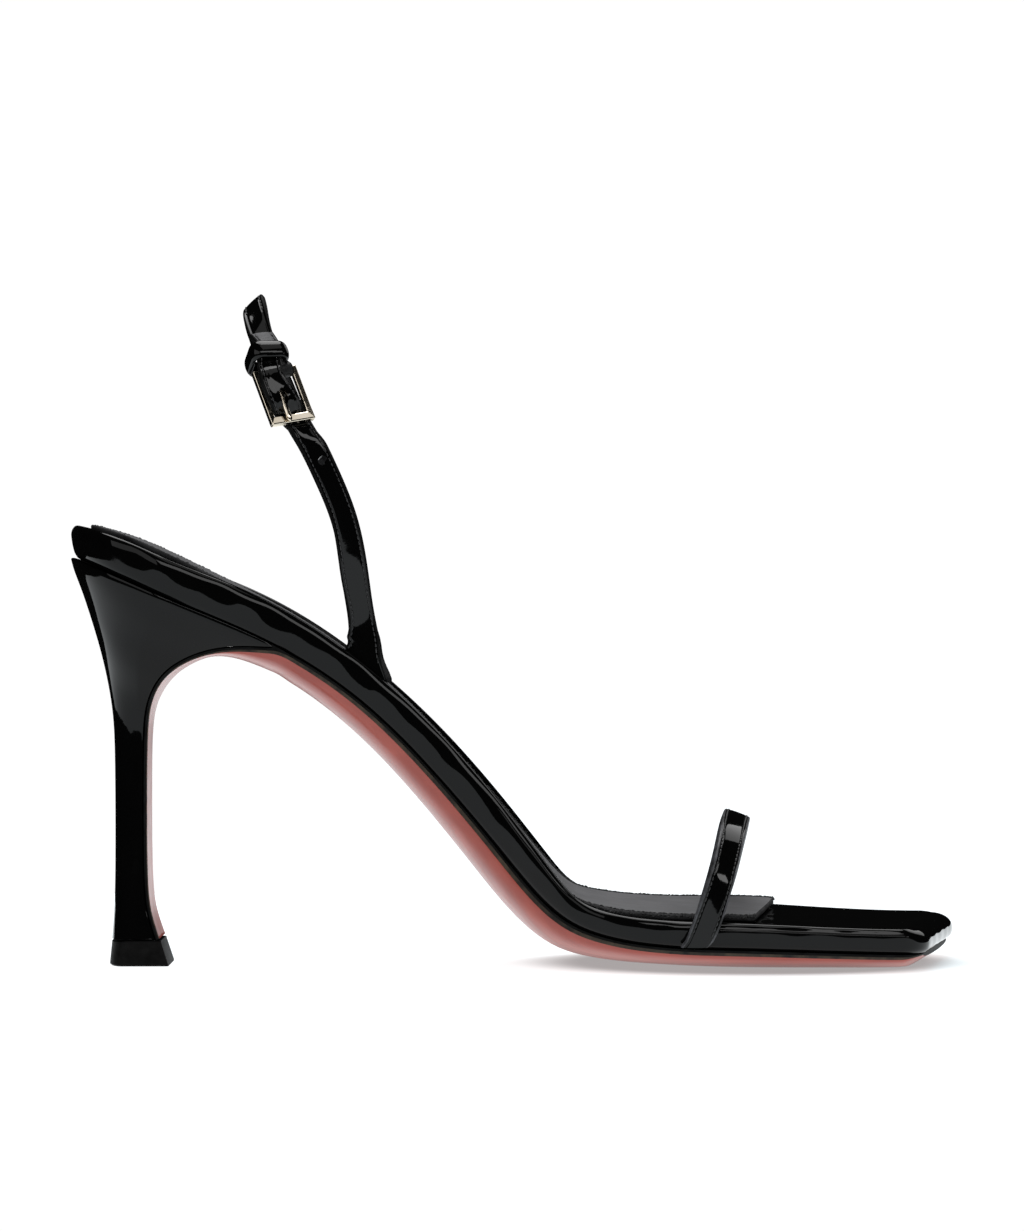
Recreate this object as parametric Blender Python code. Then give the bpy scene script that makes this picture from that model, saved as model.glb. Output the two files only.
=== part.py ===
"""Right-foot slingback sandal: patent leather straps and footbed, a flared heel of 95 mm, and a leather sole
that runs on down the heel breast. Sizes are in millimetres and become metres as each mesh is made.

+X points to the toe, -Y is the outer side of the foot, +Z is up, and the tread stands on z = 0.
"""

import math
from collections import namedtuple

import bmesh
import bpy
import numpy as np
from mathutils import Matrix, Vector

MM = 0.001
GAP = 0.3  # left between pieces that lie on each other
SMOOTH_ANGLE = math.radians(35)  # flatter edges than this are shaded round
OUTER, INNER = -1, 1  # the side of the foot, as the sign of y
FRAME_SHIFT = (-0.12, -0.16)  # puts the middle of the whole sandal on the origin

# Plan of the last
HEEL_BACK = -103.7
HEEL_ROUND = 24.0
BACK_ANGLE = math.radians(22)  # half of the heel's arc that the rearmost row takes
TOE_MIDDLE = 98.9
TOE_SLANT = 0.244  # the front edge runs this far forward for each mm towards the inner side
TOE_RADIUS = 9.0
SKEW_START = 28.0  # rows run straight across behind here, and swing round to the slanted toe before it
HEEL_ROWS, WAIST_ROWS, BALL_ROWS, CORNER_ROWS, COLUMNS = 6, 20, 7, 5, 6

# Half widths of the footbed, height of its rim and of its lower edge, how far its top is dished below the
# rim, and depth of the sole's belly below the lower edge
Station = namedtuple("Station", "x outer inner rim base dish belly")
STATIONS = [
    Station(-104, 24.3, 24.3, 102.9, 95.5, 0.6, 0.0),
    Station(-92, 24.4, 24.4, 99.7, 90.9, 0.6, 0.0),
    Station(-78, 24.4, 24.4, 93.8, 84.9, 0.6, 0.0),
    Station(-64, 23.4, 23.1, 88.2, 79.1, 1.5, 4.3),
    Station(-50, 21.1, 20.6, 81.0, 71.9, 1.6, 5.5),
    Station(-34, 19.4, 18.6, 69.7, 60.5, 1.6, 5.9),
    Station(-18, 19.6, 18.2, 55.1, 44.5, 1.6, 6.3),
    Station(-4, 22.9, 20.8, 39.3, 28.1, 1.6, 6.7),
    Station(8, 29.0, 26.8, 23.9, 14.8, 1.5, 6.8),
    Station(12.5, 31.5, 29.5, 18.6, 11.7, 1.3, 6.7),
    Station(18, 34.0, 32.4, 15.4, 9.5, 1.1, 6.1),
    Station(30, 36.8, 36.0, 13.1, 7.2, 0.6, 5.0),
    Station(50, 36.4, 37.4, 12.1, 6.1, 0.2, 4.8),
    Station(75, 32.9, 35.0, 10.8, 5.1, 0.2, 4.05),
    Station(90, 29.9, 32.5, 10.3, 4.8, 0.2, 3.3),
    Station(104, 26.8, 29.6, 10.4, 5.1, 0.2, 2.0),
]

# Footbed wall, from its underside round the rolled edge to its dished top: distance in from the plan, share
# of the wall's height, and share of the dish
Profile = namedtuple("Profile", "inset rise dish")
WALL = [
    Profile(4.6, 0.0, 0.0),
    Profile(2.0, 0.0, 0.0),
    Profile(0.8, 0.10, 0.0),
    Profile(0.15, 0.30, 0.0),
    Profile(0.0, 0.52, 0.0),
    Profile(0.2, 0.72, 0.0),
    Profile(0.8, 0.89, 0.0),
    Profile(1.4, 0.97, 0.0),
    Profile(2.1, 1.0, 0.0),
    Profile(3.0, 1.0, 0.5),
    Profile(4.2, 1.0, 1.0),
]

SOCK_INSET, SOCK_THICK = 4.5, 1.3
SOCK_FRONT, SOCK_SLANT = 59.2, 0.10
SOCK_ROWS = 26
SOCK_EDGE = [
    Profile(0.5, 0.0, 1.0),
    Profile(0.0, 0.3, 1.0),
    Profile(0.0, 0.7, 1.0),
    Profile(0.5, 1.0, 1.0),
]

SOLE_INSET = 1.2
SOLE_EDGE = 0.8  # thickness of the sole where it shows at the edge
SOLE_ROUND = 2.2  # power of the section's curve: 2 is an ellipse
SOLE_JOIN = 6.0  # length over which the waist runs into the heel breast
SOLE_COLUMNS = [0.0, 0.2, 0.4, 0.58, 0.74, 0.87, 0.96, 1.0]  # share of the half width

# Heel sections, from the top piece to the seat: rearmost point, front point on the sole's outer face, half
# widths at the side and at the breast, length of the rounded back, and depth of the sole's belly there
Section = namedtuple("Section", "back_x back_z breast_x breast_z half breast_half round belly")
SECTIONS = [
    Section(-94.2, 6.2, -82.5, 6.2, 8.2, 8.0, 7.0, 0.0),
    Section(-93.9, 10.5, -83.9, 10.5, 7.6, 7.4, 6.8, 0.0),
    Section(-93.6, 17.0, -85.1, 17.0, 7.1, 6.9, 6.5, 0.0),
    Section(-93.5, 30.0, -85.5, 30.0, 6.9, 6.7, 6.3, 0.0),
    Section(-93.6, 46.0, -85.5, 45.0, 7.0, 6.8, 6.3, 0.0),
    Section(-94.0, 57.0, -85.3, 54.0, 8.0, 7.7, 6.6, 0.0),
    Section(-95.2, 65.5, -84.4, 60.5, 10.2, 9.6, 7.8, 0.0),
    Section(-97.0, 73.5, -81.6, 66.0, 13.4, 12.0, 10.0, 0.0),
    Section(-99.2, 81.0, -76.9, 69.9, 17.0, 14.8, 13.5, 0.2),
    Section(-101.3, 87.3, -70.5, 72.4, 20.3, 17.4, 17.5, 0.6),
    Section(-103.0, 91.8, -63.4, 73.3, 22.4, 19.4, 21.0, 2.0),
    Section(-103.8, 94.6, -57.0, 73.2, 23.8, 20.8, 24.0, 4.0),
]
HEEL_LAYERS, HEEL_BACK_POINTS, HEEL_SIDE_POINTS = 26, 6, 4
BREAST_ROWS = 24

# Top piece: underside and upper face
TIP = [
    Section(-94.7, 0.0, -80.5, 0.0, 8.8, 8.6, 7.2, 0.0),
    Section(-94.2, 5.9, -82.2, 5.9, 8.2, 8.0, 7.0, 0.0),
]

# Toe strap: an arch that leans forward, outside the footbed wall
TOE_STRAP_X, TOE_STRAP_REACH, TOE_STRAP_LEAN = 40.2, 9.4, 0.82
TOE_STRAP_SKEW = 0.075  # the inner end stands this far forward for each mm across
TOE_STRAP_FOOT, TOE_STRAP_SPRING, TOE_STRAP_CREST = 7.0, 12.5, 34.0
TOE_STRAP_TUCK = 0.6  # how far its ends turn in under the wall
TOE_STRAP_WIDTH, TOE_STRAP_CREST_WIDTH = 6.1, 5.4
TOE_STRAP_THICK, TOE_STRAP_SQUARE = 2.0, 2.5
TOE_STRAP_CLEAR = 0.45
TOE_STRAP_TILT = math.radians(-16)
TOE_STRAP_STEPS = 36

# Sling strap: middle of the outer half from the footbed to the top of the loop, with the lean of its width
# and its width
SlingRow = namedtuple("SlingRow", "x y z tilt width")
SLING = [
    SlingRow(-34.3, -16.2, 70.3, -38.5, 9.2),
    SlingRow(-34.9, -17.0, 77.5, 0, 6.6),
    SlingRow(-36.4, -18.9, 88.0, 6, 6.3),
    SlingRow(-39.0, -21.2, 103.0, 14, 6.0),
    SlingRow(-43.9, -22.0, 115.5, 20, 5.9),
    SlingRow(-47.9, -21.0, 123.4, -12, 5.9),
    SlingRow(-50.2, -19.8, 127.2, -32, 5.9),
    SlingRow(-54.8, -16.1, 137.0, -36, 5.9),
    SlingRow(-57.3, -12.6, 142.2, -30, 5.8),
    SlingRow(-60.1, -7.0, 150.0, 10, 5.8),
    SlingRow(-61.0, 0.0, 154.2, 43, 5.8),
]
SLING_INNER_BACK = 0.08  # the inner half stands this far behind the outer one, for each mm from the middle
SLING_INNER_TILT = 24  # its lean where the outer half is turned by the buckle
SLING_INNER_FOOT = 0.8  # and its foot this far nearer the middle, as the waist is narrower there
SLING_THICK, HOLE_STRAP_THICK, FOLD_THICK = 1.6, 1.5, 0.9
FOLD_BLEND = 9.0  # length over which the back strap thins to its fold
STRAP_ROUND, THIN_ROUND = 0.45, 0.4  # radius of a strap's edges, at most this share of its thickness
SLING_STEP, BUCKLE_STEP = 4.0, 0.9

# Buckle: along is measured up the strap from the middle of the frame, lift away from the foot
BUCKLE_Z = 129.7
FRAME_LOW, FRAME_HIGH, FRAME_WIDTH = -6.2, 8.0, 11.0
FRAME_LIFT, FRAME_THICK, FRAME_BAR, FRAME_FRONT_BAR = 1.75, 1.4, 1.4, 2.2
FRAME_ROUND = 0.4
FRAME_SIDE = -0.7  # the frame stands this far to one side of the strap's middle
BAR_ALONG = FRAME_HIGH - FRAME_BAR / 2
FLAT_REACH, FLAT_BLEND = 8.5, 6.0  # the strap is flat this far from the frame's middle, then curves
Lift = namedtuple("Lift", "along lift")
HOLE_STRAP = [
    Lift(-12, 0.0),
    Lift(-6.4, -0.1),
    Lift(-4.2, -0.05),
    Lift(-3.2, 0.4),
    Lift(-1.9, 1.4),
    Lift(-0.5, 2.6),
    Lift(1.0, 3.7),
    Lift(3.2, 4.5),
    Lift(6, 4.9),
    Lift(7.6, 4.75),
    Lift(9, 3.9),
    Lift(10.3, 3.2),
    Lift(12, 2.95),
    Lift(15, 2.8),
    Lift(17.6, 2.3),
]
FOLD = [
    Lift(14.2, 1.35),
    Lift(11.0, 1.45),
    Lift(9.7, 1.75),
    Lift(8.5, 2.4),
    Lift(7.3, 3.2),
    Lift(6.27, 2.78),
    Lift(5.85, 1.75),
    Lift(6.27, 0.72),
    Lift(7.3, 0.3),
    Lift(8.8, 0.12),
    Lift(10.5, 0.0),
]
SLOT_WIDTH, SLOT_LOW, SLOT_HIGH = 2.4, 4.6, 10.0
Hole = namedtuple("Hole", "along half_length")
HOLES = [Hole(0.0, 3.0), Hole(-15.5, 1.0)]  # the prong draws the first one long
HOLE_RADIUS, HOLE_SIDES = 1.0, 12
PRONG_RADIUS, PRONG_TIP = 0.5, -6.4
HOOK_RADIUS = FRAME_BAR / 2 + GAP + PRONG_RADIUS
HOOK_START, HOOK_END, HOOK_STEPS = math.radians(-185), math.radians(90), 12
KEEPER_LOW, KEEPER_HIGH, KEEPER_BULGE = 9.4, 14.0, 0.35
KEEPER_HALF_WIDTH, KEEPER_UNDER, KEEPER_OVER, KEEPER_THICK = 3.9, -1.9, 5.2, 1.1
KEEPER_ROUND, KEEPER_ROUND_STEPS = 1.0, 4

# Colour, roughness and metallic value of each material
Finish = namedtuple("Finish", "colour roughness metallic")
PATENT = Finish((0.004, 0.004, 0.004), 0.08, 0.0)
SOLE_LEATHER = Finish((0.33, 0.07, 0.05), 0.35, 0.0)
SOCK_LEATHER = Finish((0.10, 0.10, 0.105), 0.55, 0.0)
TIP_RUBBER = Finish((0.006, 0.006, 0.006), 0.5, 0.0)
PALE_GOLD = Finish((0.62, 0.57, 0.50), 0.2, 1.0)


def spline(xs, ys):
    """Natural cubic curve through the points, as a function that holds its end values outside them."""
    xs, ys = np.asarray(xs, float), np.asarray(ys, float)
    count, step = len(xs), np.diff(xs)
    matrix, right = np.eye(count), np.zeros(count)
    for i in range(1, count - 1):
        matrix[i, i - 1 : i + 2] = step[i - 1], 2 * (step[i - 1] + step[i]), step[i]
        right[i] = 6 * ((ys[i + 1] - ys[i]) / step[i] - (ys[i] - ys[i - 1]) / step[i - 1])
    bend = np.linalg.solve(matrix, right)

    def value(x):
        x = min(max(x, xs[0]), xs[-1])
        i = min(max(int(np.searchsorted(xs, x)) - 1, 0), count - 2)
        a = (xs[i + 1] - x) / step[i]
        b = 1 - a
        bulge = ((a**3 - a) * bend[i] + (b**3 - b) * bend[i + 1]) * step[i] ** 2 / 6
        return a * ys[i] + b * ys[i + 1] + bulge

    return value


def columns_of(table, keys):
    """One spline for each column of a table, over the given key of each row."""
    return [spline(keys, column) for column in zip(*table)]


_, OUTER_HALF, INNER_HALF, RIM, BASE, DISH, BELLY = columns_of(STATIONS, [row.x for row in STATIONS])
HALF_WIDTH = {OUTER: OUTER_HALF, INNER: INNER_HALF}


def slope(curve, x, reach=0.5):
    return (curve(x + reach) - curve(x - reach)) / (2 * reach)


class Shell:
    """The points and faces of one solid, in millimetres."""

    def __init__(self):
        self.points, self.faces = [], []

    def add(self, points):
        first = len(self.points)
        self.points.extend(points)
        return list(range(first, len(self.points)))

    def bridge(self, one, two):
        """Faces between two closed loops of as many points."""
        count = len(one)
        for i in range(count):
            j = (i + 1) % count
            self.faces.append((one[i], one[j], two[j], two[i]))

    def sweep(self, sections):
        """Closed sections joined one after another, with both ends capped."""
        loops = [self.add(section) for section in sections]
        for one, two in zip(loops, loops[1:]):
            self.bridge(one, two)
        self.faces += [tuple(loops[0]), tuple(loops[-1])]

    def patch(self, rows):
        """Faces over rows of as many points each."""
        for one, two in zip(rows, rows[1:]):
            for i in range(len(one) - 1):
                self.faces.append((one[i], one[i + 1], two[i + 1], two[i]))


def finish_material(name, finish):
    material = bpy.data.materials.new(name)
    material.use_nodes = True
    shader = material.node_tree.nodes["Principled BSDF"]
    shader.inputs["Base Color"].default_value = (*finish.colour, 1)
    shader.inputs["Roughness"].default_value = finish.roughness
    shader.inputs["Metallic"].default_value = finish.metallic
    return material


def place(name, mesh, finish, root, matrix=None):
    """The finished object of a mesh that is already in metres, under the sandal's empty."""
    mesh.materials.append(finish_material(f"{name}_material", finish))
    mesh.shade_smooth()
    mesh.set_sharp_from_angle(angle=SMOOTH_ANGLE)
    piece = bpy.data.objects.new(name, mesh)
    bpy.context.scene.collection.objects.link(piece)
    piece.parent = root
    if matrix is not None:
        piece.matrix_local = matrix
    return piece


def solid(name, shell, finish, root, matrix=None):
    mesh = bpy.data.meshes.new(name)
    work = bmesh.new()
    points = [work.verts.new(Vector(point) * MM) for point in shell.points]
    for face in shell.faces:
        work.faces.new([points[i] for i in face])
    bmesh.ops.recalc_face_normals(work, faces=work.faces)
    work.to_mesh(mesh)
    work.free()
    return place(name, mesh, finish, root, matrix)


# Plan: each Edge is a point of the outline with the direction that points in from it

Edge = namedtuple("Edge", "x y nx ny")
Plan = namedtuple("Plan", "outer inner back front")


def edge_at(x, y, nx, ny):
    length = math.hypot(nx, ny)
    return Edge(x, y, nx / length, ny / length)


def moved_in(edge, inset):
    return Edge(edge.x + edge.nx * inset, edge.y + edge.ny * inset, edge.nx, edge.ny)


def heel_edge(side, angle):
    """Round end of the heel seat, with angle 0 at the back and a right angle at the side."""
    half = HALF_WIDTH[side](HEEL_BACK + HEEL_ROUND)
    x = HEEL_BACK + HEEL_ROUND * (1 - math.cos(angle))
    y = side * half * math.sin(angle)
    return edge_at(x, y, math.cos(angle) / HEEL_ROUND, -side * math.sin(angle) / half)


def side_edge(side, x):
    return edge_at(x, side * HALF_WIDTH[side](x), slope(HALF_WIDTH[side], x), -side)


def toe_corner(side):
    """Where the side meets the round corner, and the corner's centre, a radius from side and front."""
    low, high = SKEW_START, STATIONS[-1].x
    for _ in range(40):
        middle = (low + high) / 2
        centre = moved_in(side_edge(side, middle), TOE_RADIUS)
        behind_front = (TOE_MIDDLE + TOE_SLANT * centre.y - centre.x) / math.hypot(1, TOE_SLANT)
        low, high = (middle, high) if behind_front > TOE_RADIUS else (low, middle)
    return low, centre


def corner_edges(side):
    start, centre = toe_corner(side)
    first = side_edge(side, start)
    turn_from = math.atan2(-first.ny, -first.nx)
    turn_to = math.atan2(-TOE_SLANT, 1)
    for i in range(1, CORNER_ROWS + 1):
        angle = turn_from + (turn_to - turn_from) * i / CORNER_ROWS
        out = Vector((math.cos(angle), math.sin(angle)))
        yield Edge(centre.x + TOE_RADIUS * out.x, centre.y + TOE_RADIUS * out.y, -out.x, -out.y)


def side_edges(side, x_end, rows_behind, rows_before):
    """Edges from beside the heel's rearmost row to x_end."""
    edges = []
    for i in range(HEEL_ROWS):
        angle = BACK_ANGLE + (math.pi / 2 - BACK_ANGLE) * i / HEEL_ROWS
        edges.append(heel_edge(side, angle))
    x_start = HEEL_BACK + HEEL_ROUND
    for i in range(rows_behind):
        edges.append(side_edge(side, x_start + (SKEW_START - x_start) * i / rows_behind))
    for i in range(rows_before + 1):
        edges.append(side_edge(side, SKEW_START + (x_end - SKEW_START) * i / rows_before))
    return edges


def back_edges():
    angles = [BACK_ANGLE * (2 * i / COLUMNS - 1) for i in range(COLUMNS + 1)]
    return [heel_edge(OUTER if angle < 0 else INNER, abs(angle)) for angle in angles]


def front_edges(first, last):
    """Straight front edge between the ends of the two sides, pointing back."""
    edges = []
    for i in range(COLUMNS + 1):
        share = i / COLUMNS
        x, y = first.x + (last.x - first.x) * share, first.y + (last.y - first.y) * share
        edges.append(edge_at(x, y, first.y - last.y, last.x - first.x))
    return edges


def footbed_plan():
    sides = {}
    for side in (OUTER, INNER):
        start, _ = toe_corner(side)
        sides[side] = side_edges(side, start, WAIST_ROWS, BALL_ROWS) + list(corner_edges(side))
    front = front_edges(sides[OUTER][-1], sides[INNER][-1])
    return Plan(sides[OUTER], sides[INNER], back_edges(), front)


def sock_plan():
    sides = {}
    for side in (OUTER, INNER):
        x_end = SOCK_FRONT + SOCK_SLANT * side * (HALF_WIDTH[side](SOCK_FRONT) - SOCK_INSET)
        edges = side_edges(side, x_end, SOCK_ROWS, BALL_ROWS - 2)
        sides[side] = [moved_in(edge, SOCK_INSET) for edge in edges]
    back = [moved_in(edge, SOCK_INSET) for edge in back_edges()]
    front = front_edges(sides[OUTER][-1], sides[INNER][-1])
    return Plan(sides[OUTER], sides[INNER], back, front)


def plate(plan, profile, height):
    """A solid inside a plan outline: its edge follows the profile, and height(x, row) gives each z."""
    shell = Shell()
    ring = plan.outer + plan.front[1:-1] + plan.inner[::-1] + plan.back[-2:0:-1]
    last = len(plan.outer) - 1
    loops = []
    for row in profile:
        points = [moved_in(edge, row.inset) for edge in ring]
        loops.append(shell.add([(point.x, point.y, height(point.x, row)) for point in points]))
    for one, two in zip(loops, loops[1:]):
        shell.bridge(one, two)
    for loop, row in ((loops[0], profile[0]), (loops[-1], profile[-1])):
        front = loop[last : last + COLUMNS + 1]
        inner = loop[last + COLUMNS : 2 * last + COLUMNS + 1][::-1]
        back = [loop[0]] + loop[2 * last + COLUMNS + 1 :][::-1] + [inner[0]]
        rows = [back]
        for start, end in zip(loop[1:last], inner[1:last]):
            a, b = Vector(shell.points[start]), Vector(shell.points[end])
            between = [a.lerp(b, i / COLUMNS) for i in range(1, COLUMNS)]
            rows.append([start] + shell.add([(p.x, p.y, height(p.x, row)) for p in between]) + [end])
        shell.patch(rows + [front])
    return shell


def make_footbed(root):
    def height(x, row):
        return BASE(x) + row.rise * (RIM(x) - BASE(x)) - row.dish * DISH(x)

    return solid("footbed", plate(footbed_plan(), WALL, height), PATENT, root)


def make_sock(root):
    def height(x, row):
        return RIM(x) - row.dish * DISH(x) + GAP + row.rise * SOCK_THICK

    return solid("sock", plate(sock_plan(), SOCK_EDGE, height), SOCK_LEATHER, root)


# Heel and sole


def smooth_sections(count):
    """Heel sections at even steps between the rows of the table, with the way that the breast faces."""
    curves = columns_of(SECTIONS, range(len(SECTIONS)))
    last = len(SECTIONS) - 1
    found = []
    for i in range(count):
        key = last * i / (count - 1)
        section = Section(*(curve(key) for curve in curves))
        before, after = max(key - 0.1, 0), min(key + 0.1, last)
        up = Vector([curves[axis](after) - curves[axis](before) for axis in (2, 3)]).normalized()
        found.append((section, Vector((up.y, -up.x))))
    return found


def behind_breast(section, out, depth):
    """A point this deep behind the sole's face on the breast, no lower than the foot of the heel."""
    return section.breast_x - out.x * depth, max(section.breast_z - out.y * depth, SECTIONS[0].back_z)


def heel_outline(section, front_x, front_z):
    """One heel section: up the outer side from the breast, round the back, and along the inner side."""
    length = front_x - section.back_x
    shares = []
    for i in range(HEEL_BACK_POINTS):
        angle = math.pi / 2 * i / HEEL_BACK_POINTS
        shares.append((section.round / length * (1 - math.cos(angle)), section.half * math.sin(angle)))
    for i in range(HEEL_SIDE_POINTS + 1):
        share = i / HEEL_SIDE_POINTS
        along = section.round / length * (1 - share) + share
        shares.append((along, section.half + (section.breast_half - section.half) * share))
    points = []
    for along, half in shares:
        x = section.back_x + length * along
        z = section.back_z + (front_z - section.back_z) * along
        points.append((x, half, z))
    outer = [(x, -half, z) for x, half, z in points[:0:-1]]
    return outer + points


def make_heel(root):
    shell = Shell()
    loops = []
    for section, out in smooth_sections(HEEL_LAYERS):
        loops.append(heel_outline(section, *behind_breast(section, out, SOLE_EDGE + GAP)))
    seat = [(x, y, BASE(x) - GAP) for x, y, _ in loops[-1]]
    shell.sweep(loops[:-1] + [seat])
    # The seat curves, so its cap runs in strips from side to side
    shell.faces.pop()
    first, count = (len(loops) - 1) * len(seat), len(seat)
    half = count // 2
    for i in range(half):
        near, far = first + i, first + count - 1 - i
        corners = [near, near + 1, far - 1, far]
        shell.faces.append(tuple(dict.fromkeys(corners)))
    return solid("heel", shell, PATENT, root)


def make_top_piece(root):
    shell = Shell()
    shell.sweep([heel_outline(section, section.breast_x, section.breast_z) for section in TIP])
    return solid("top_piece", shell, TIP_RUBBER, root)


def sole_section(outer, inner, down, belly, floor):
    """Section of the sole between two points of its upper edge, domed along down, flat on the floor."""

    def across(share):
        return outer.lerp(inner, (share + 1) / 2)

    shares = [-share for share in SOLE_COLUMNS[:0:-1]] + SOLE_COLUMNS
    under = []
    for share in shares:
        depth = SOLE_EDGE + belly * (1 - abs(share) ** SOLE_ROUND) ** (1 / SOLE_ROUND)
        point = across(share) + down * depth
        under.append((point.x, point.y, max(point.z, floor)))
    return [tuple(inner), tuple(across(0)), tuple(outer)] + under


def make_outsole(root):
    plan = footbed_plan()
    sections = []
    wedge = SECTIONS[-1].breast_x
    for outer, inner in zip(reversed(plan.outer), reversed(plan.inner)):
        ends = [moved_in(edge, SOLE_INSET) for edge in (outer, inner)]
        middle = (ends[0].x + ends[1].x) / 2
        if middle < wedge + SOLE_JOIN:
            break
        tops = [Vector((end.x, end.y, BASE(end.x) - GAP)) for end in ends]
        down = Vector((slope(BASE, middle), 0, -1)).normalized()
        sections.append(sole_section(*tops, down, BELLY(middle), 0.0))
    for section, out in reversed(smooth_sections(BREAST_ROWS)):
        x, z = behind_breast(section, out, SOLE_EDGE)
        tops = [Vector((x, side * section.breast_half, z)) for side in (OUTER, INNER)]
        sections.append(sole_section(*tops, Vector((out.x, 0, out.y)), section.belly, SECTIONS[0].back_z))
    shell = Shell()
    shell.sweep(sections)
    return solid("outsole", shell, SOLE_LEATHER, root)


# Straps


def strap(path, across, widths, thicknesses):
    """A strap with rounded edges along a path; across gives the direction of its width at each point."""
    shell = Shell()
    sections = []
    for i, point in enumerate(path):
        along = (path[min(i + 1, len(path) - 1)] - path[max(i - 1, 0)]).normalized()
        wide = across[i].normalized()
        out = wide.cross(along).normalized()
        w, t, r = widths[i] / 2, thicknesses[i] / 2, min(STRAP_ROUND, thicknesses[i] * THIN_ROUND)
        outer_face = [(-w, r - t), (-w, t - r), (r - w, t), (w - r, t), (w, t - r), (w, r - t)]
        inner_face = [(w - r, -t), (r - w, -t)]
        sections.append([point + wide * a + out * b for a, b in outer_face + inner_face])
    shell.sweep(sections)
    return shell


def make_toe_strap(root):
    stand_off = TOE_STRAP_CLEAR + TOE_STRAP_THICK / 2
    wall = {side: HALF_WIDTH[side](TOE_STRAP_X + TOE_STRAP_WIDTH / 3) + stand_off for side in (OUTER, INNER)}
    rise = TOE_STRAP_CREST - TOE_STRAP_SPRING
    middle = (TOE_STRAP_FOOT + TOE_STRAP_SPRING) / 2
    outline = [(TOE_STRAP_TUCK - wall[OUTER], TOE_STRAP_FOOT), (-wall[OUTER], middle)]
    for i in range(TOE_STRAP_STEPS + 1):
        angle = math.pi * i / TOE_STRAP_STEPS
        half = wall[OUTER] if math.cos(angle) > 0 else wall[INNER]
        y = -math.copysign(abs(math.cos(angle)) ** (2 / TOE_STRAP_SQUARE), math.cos(angle)) * half
        outline.append((y, TOE_STRAP_SPRING + rise * math.sin(angle) ** (2 / TOE_STRAP_SQUARE)))
    outline += [(wall[INNER], middle), (wall[INNER] - TOE_STRAP_TUCK, TOE_STRAP_FOOT)]
    path, widths = [], []
    for y, z in outline:
        lean = ((z - TOE_STRAP_FOOT) / (TOE_STRAP_CREST - TOE_STRAP_FOOT)) ** TOE_STRAP_LEAN
        x = TOE_STRAP_X + TOE_STRAP_REACH * lean + TOE_STRAP_SKEW * (y + wall[OUTER])
        path.append(Vector((x, y, z)))
        widths.append(TOE_STRAP_WIDTH + (TOE_STRAP_CREST_WIDTH - TOE_STRAP_WIDTH) * lean)
    lean_of_width = Vector((math.cos(TOE_STRAP_TILT), 0, math.sin(TOE_STRAP_TILT)))
    across = []
    for i in range(len(path)):
        along = (path[min(i + 1, len(path) - 1)] - path[max(i - 1, 0)]).normalized()
        across.append(lean_of_width - along * lean_of_width.dot(along))
    across[0] = across[-1] = Vector((1, 0, 0))
    shell = strap(path, across, widths, [TOE_STRAP_THICK] * len(path))
    return solid("toe_strap", shell, PATENT, root)


class Sling:
    """The loop of the sling strap, from its outer foot over the top to its inner foot, by length along it."""

    def __init__(self):
        outer = [row._replace(z=RIM(row.x) + GAP) if row is SLING[0] else row for row in SLING]
        inner = []
        for row in outer[-2:0:-1]:
            tilt = row.tilt if row.tilt >= 0 else SLING_INNER_TILT
            inner.append(row._replace(x=row.x + SLING_INNER_BACK * row.y, y=-row.y, tilt=tilt))
        foot = outer[0]._replace(y=-outer[0].y - SLING_INNER_FOOT)
        rows = outer + inner + [foot]
        points = [Vector(row[:3]) for row in rows]
        keys = np.cumsum([0] + [(b - a).length for a, b in zip(points, points[1:])])
        self.length = keys[-1]
        self.curves = columns_of(rows, keys)
        self.buckle = next(s for s in np.arange(0, self.length, 0.1) if self.curves[2](s) > BUCKLE_Z)

    def point(self, s):
        return Vector([curve(s) for curve in self.curves[:3]])

    def along(self, s):
        return (self.point(s + 0.2) - self.point(s - 0.2)).normalized()

    def across(self, s):
        """Direction of the strap's width, square to its length except at the feet, along the footbed."""
        tilt = math.radians(self.curves[3](s))
        lean = Vector((math.cos(tilt), 0, math.sin(tilt)))
        along = self.along(min(max(s, 0.2), self.length - 0.2))
        foot = min(s, self.length - s) / (SLING[1].z - SLING[0].z)
        return (lean - along * lean.dot(along) * min(max(foot, 0), 1)).normalized()

    def width(self, s):
        return self.curves[4](s)

    def curved_share(self, along):
        """0 where the strap lies flat in the buckle, 1 where it follows the loop's curve."""
        past = abs(along - (FRAME_LOW + FRAME_HIGH) / 2) - FLAT_REACH
        share = min(max(past / FLAT_BLEND, 0), 1)
        return share * share * (3 - 2 * share)

    def lifted(self, along, lift):
        """A point by its length up the strap from the buckle and its lift away from the foot."""
        s = self.buckle + along
        curved = self.point(s) + self.across(s).cross(self.along(s)).normalized() * lift
        flat = self.frame() @ (Vector((0, along, lift)) * MM) / MM
        return flat.lerp(curved, self.curved_share(along))

    def wide(self, along):
        """Direction of the strap's width, by its length up the strap from the buckle."""
        flat, curved = self.across(self.buckle), self.across(self.buckle + along)
        return flat.lerp(curved, self.curved_share(along)).normalized()

    def frame(self):
        """Local axes of the buckle: across the strap, up the strap, away from the foot."""
        across, along = self.across(self.buckle), self.along(self.buckle)
        out = across.cross(along).normalized()
        turn = Matrix((across, along, out)).transposed().to_4x4()
        return Matrix.Translation(self.point(self.buckle) * MM) @ turn


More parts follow.
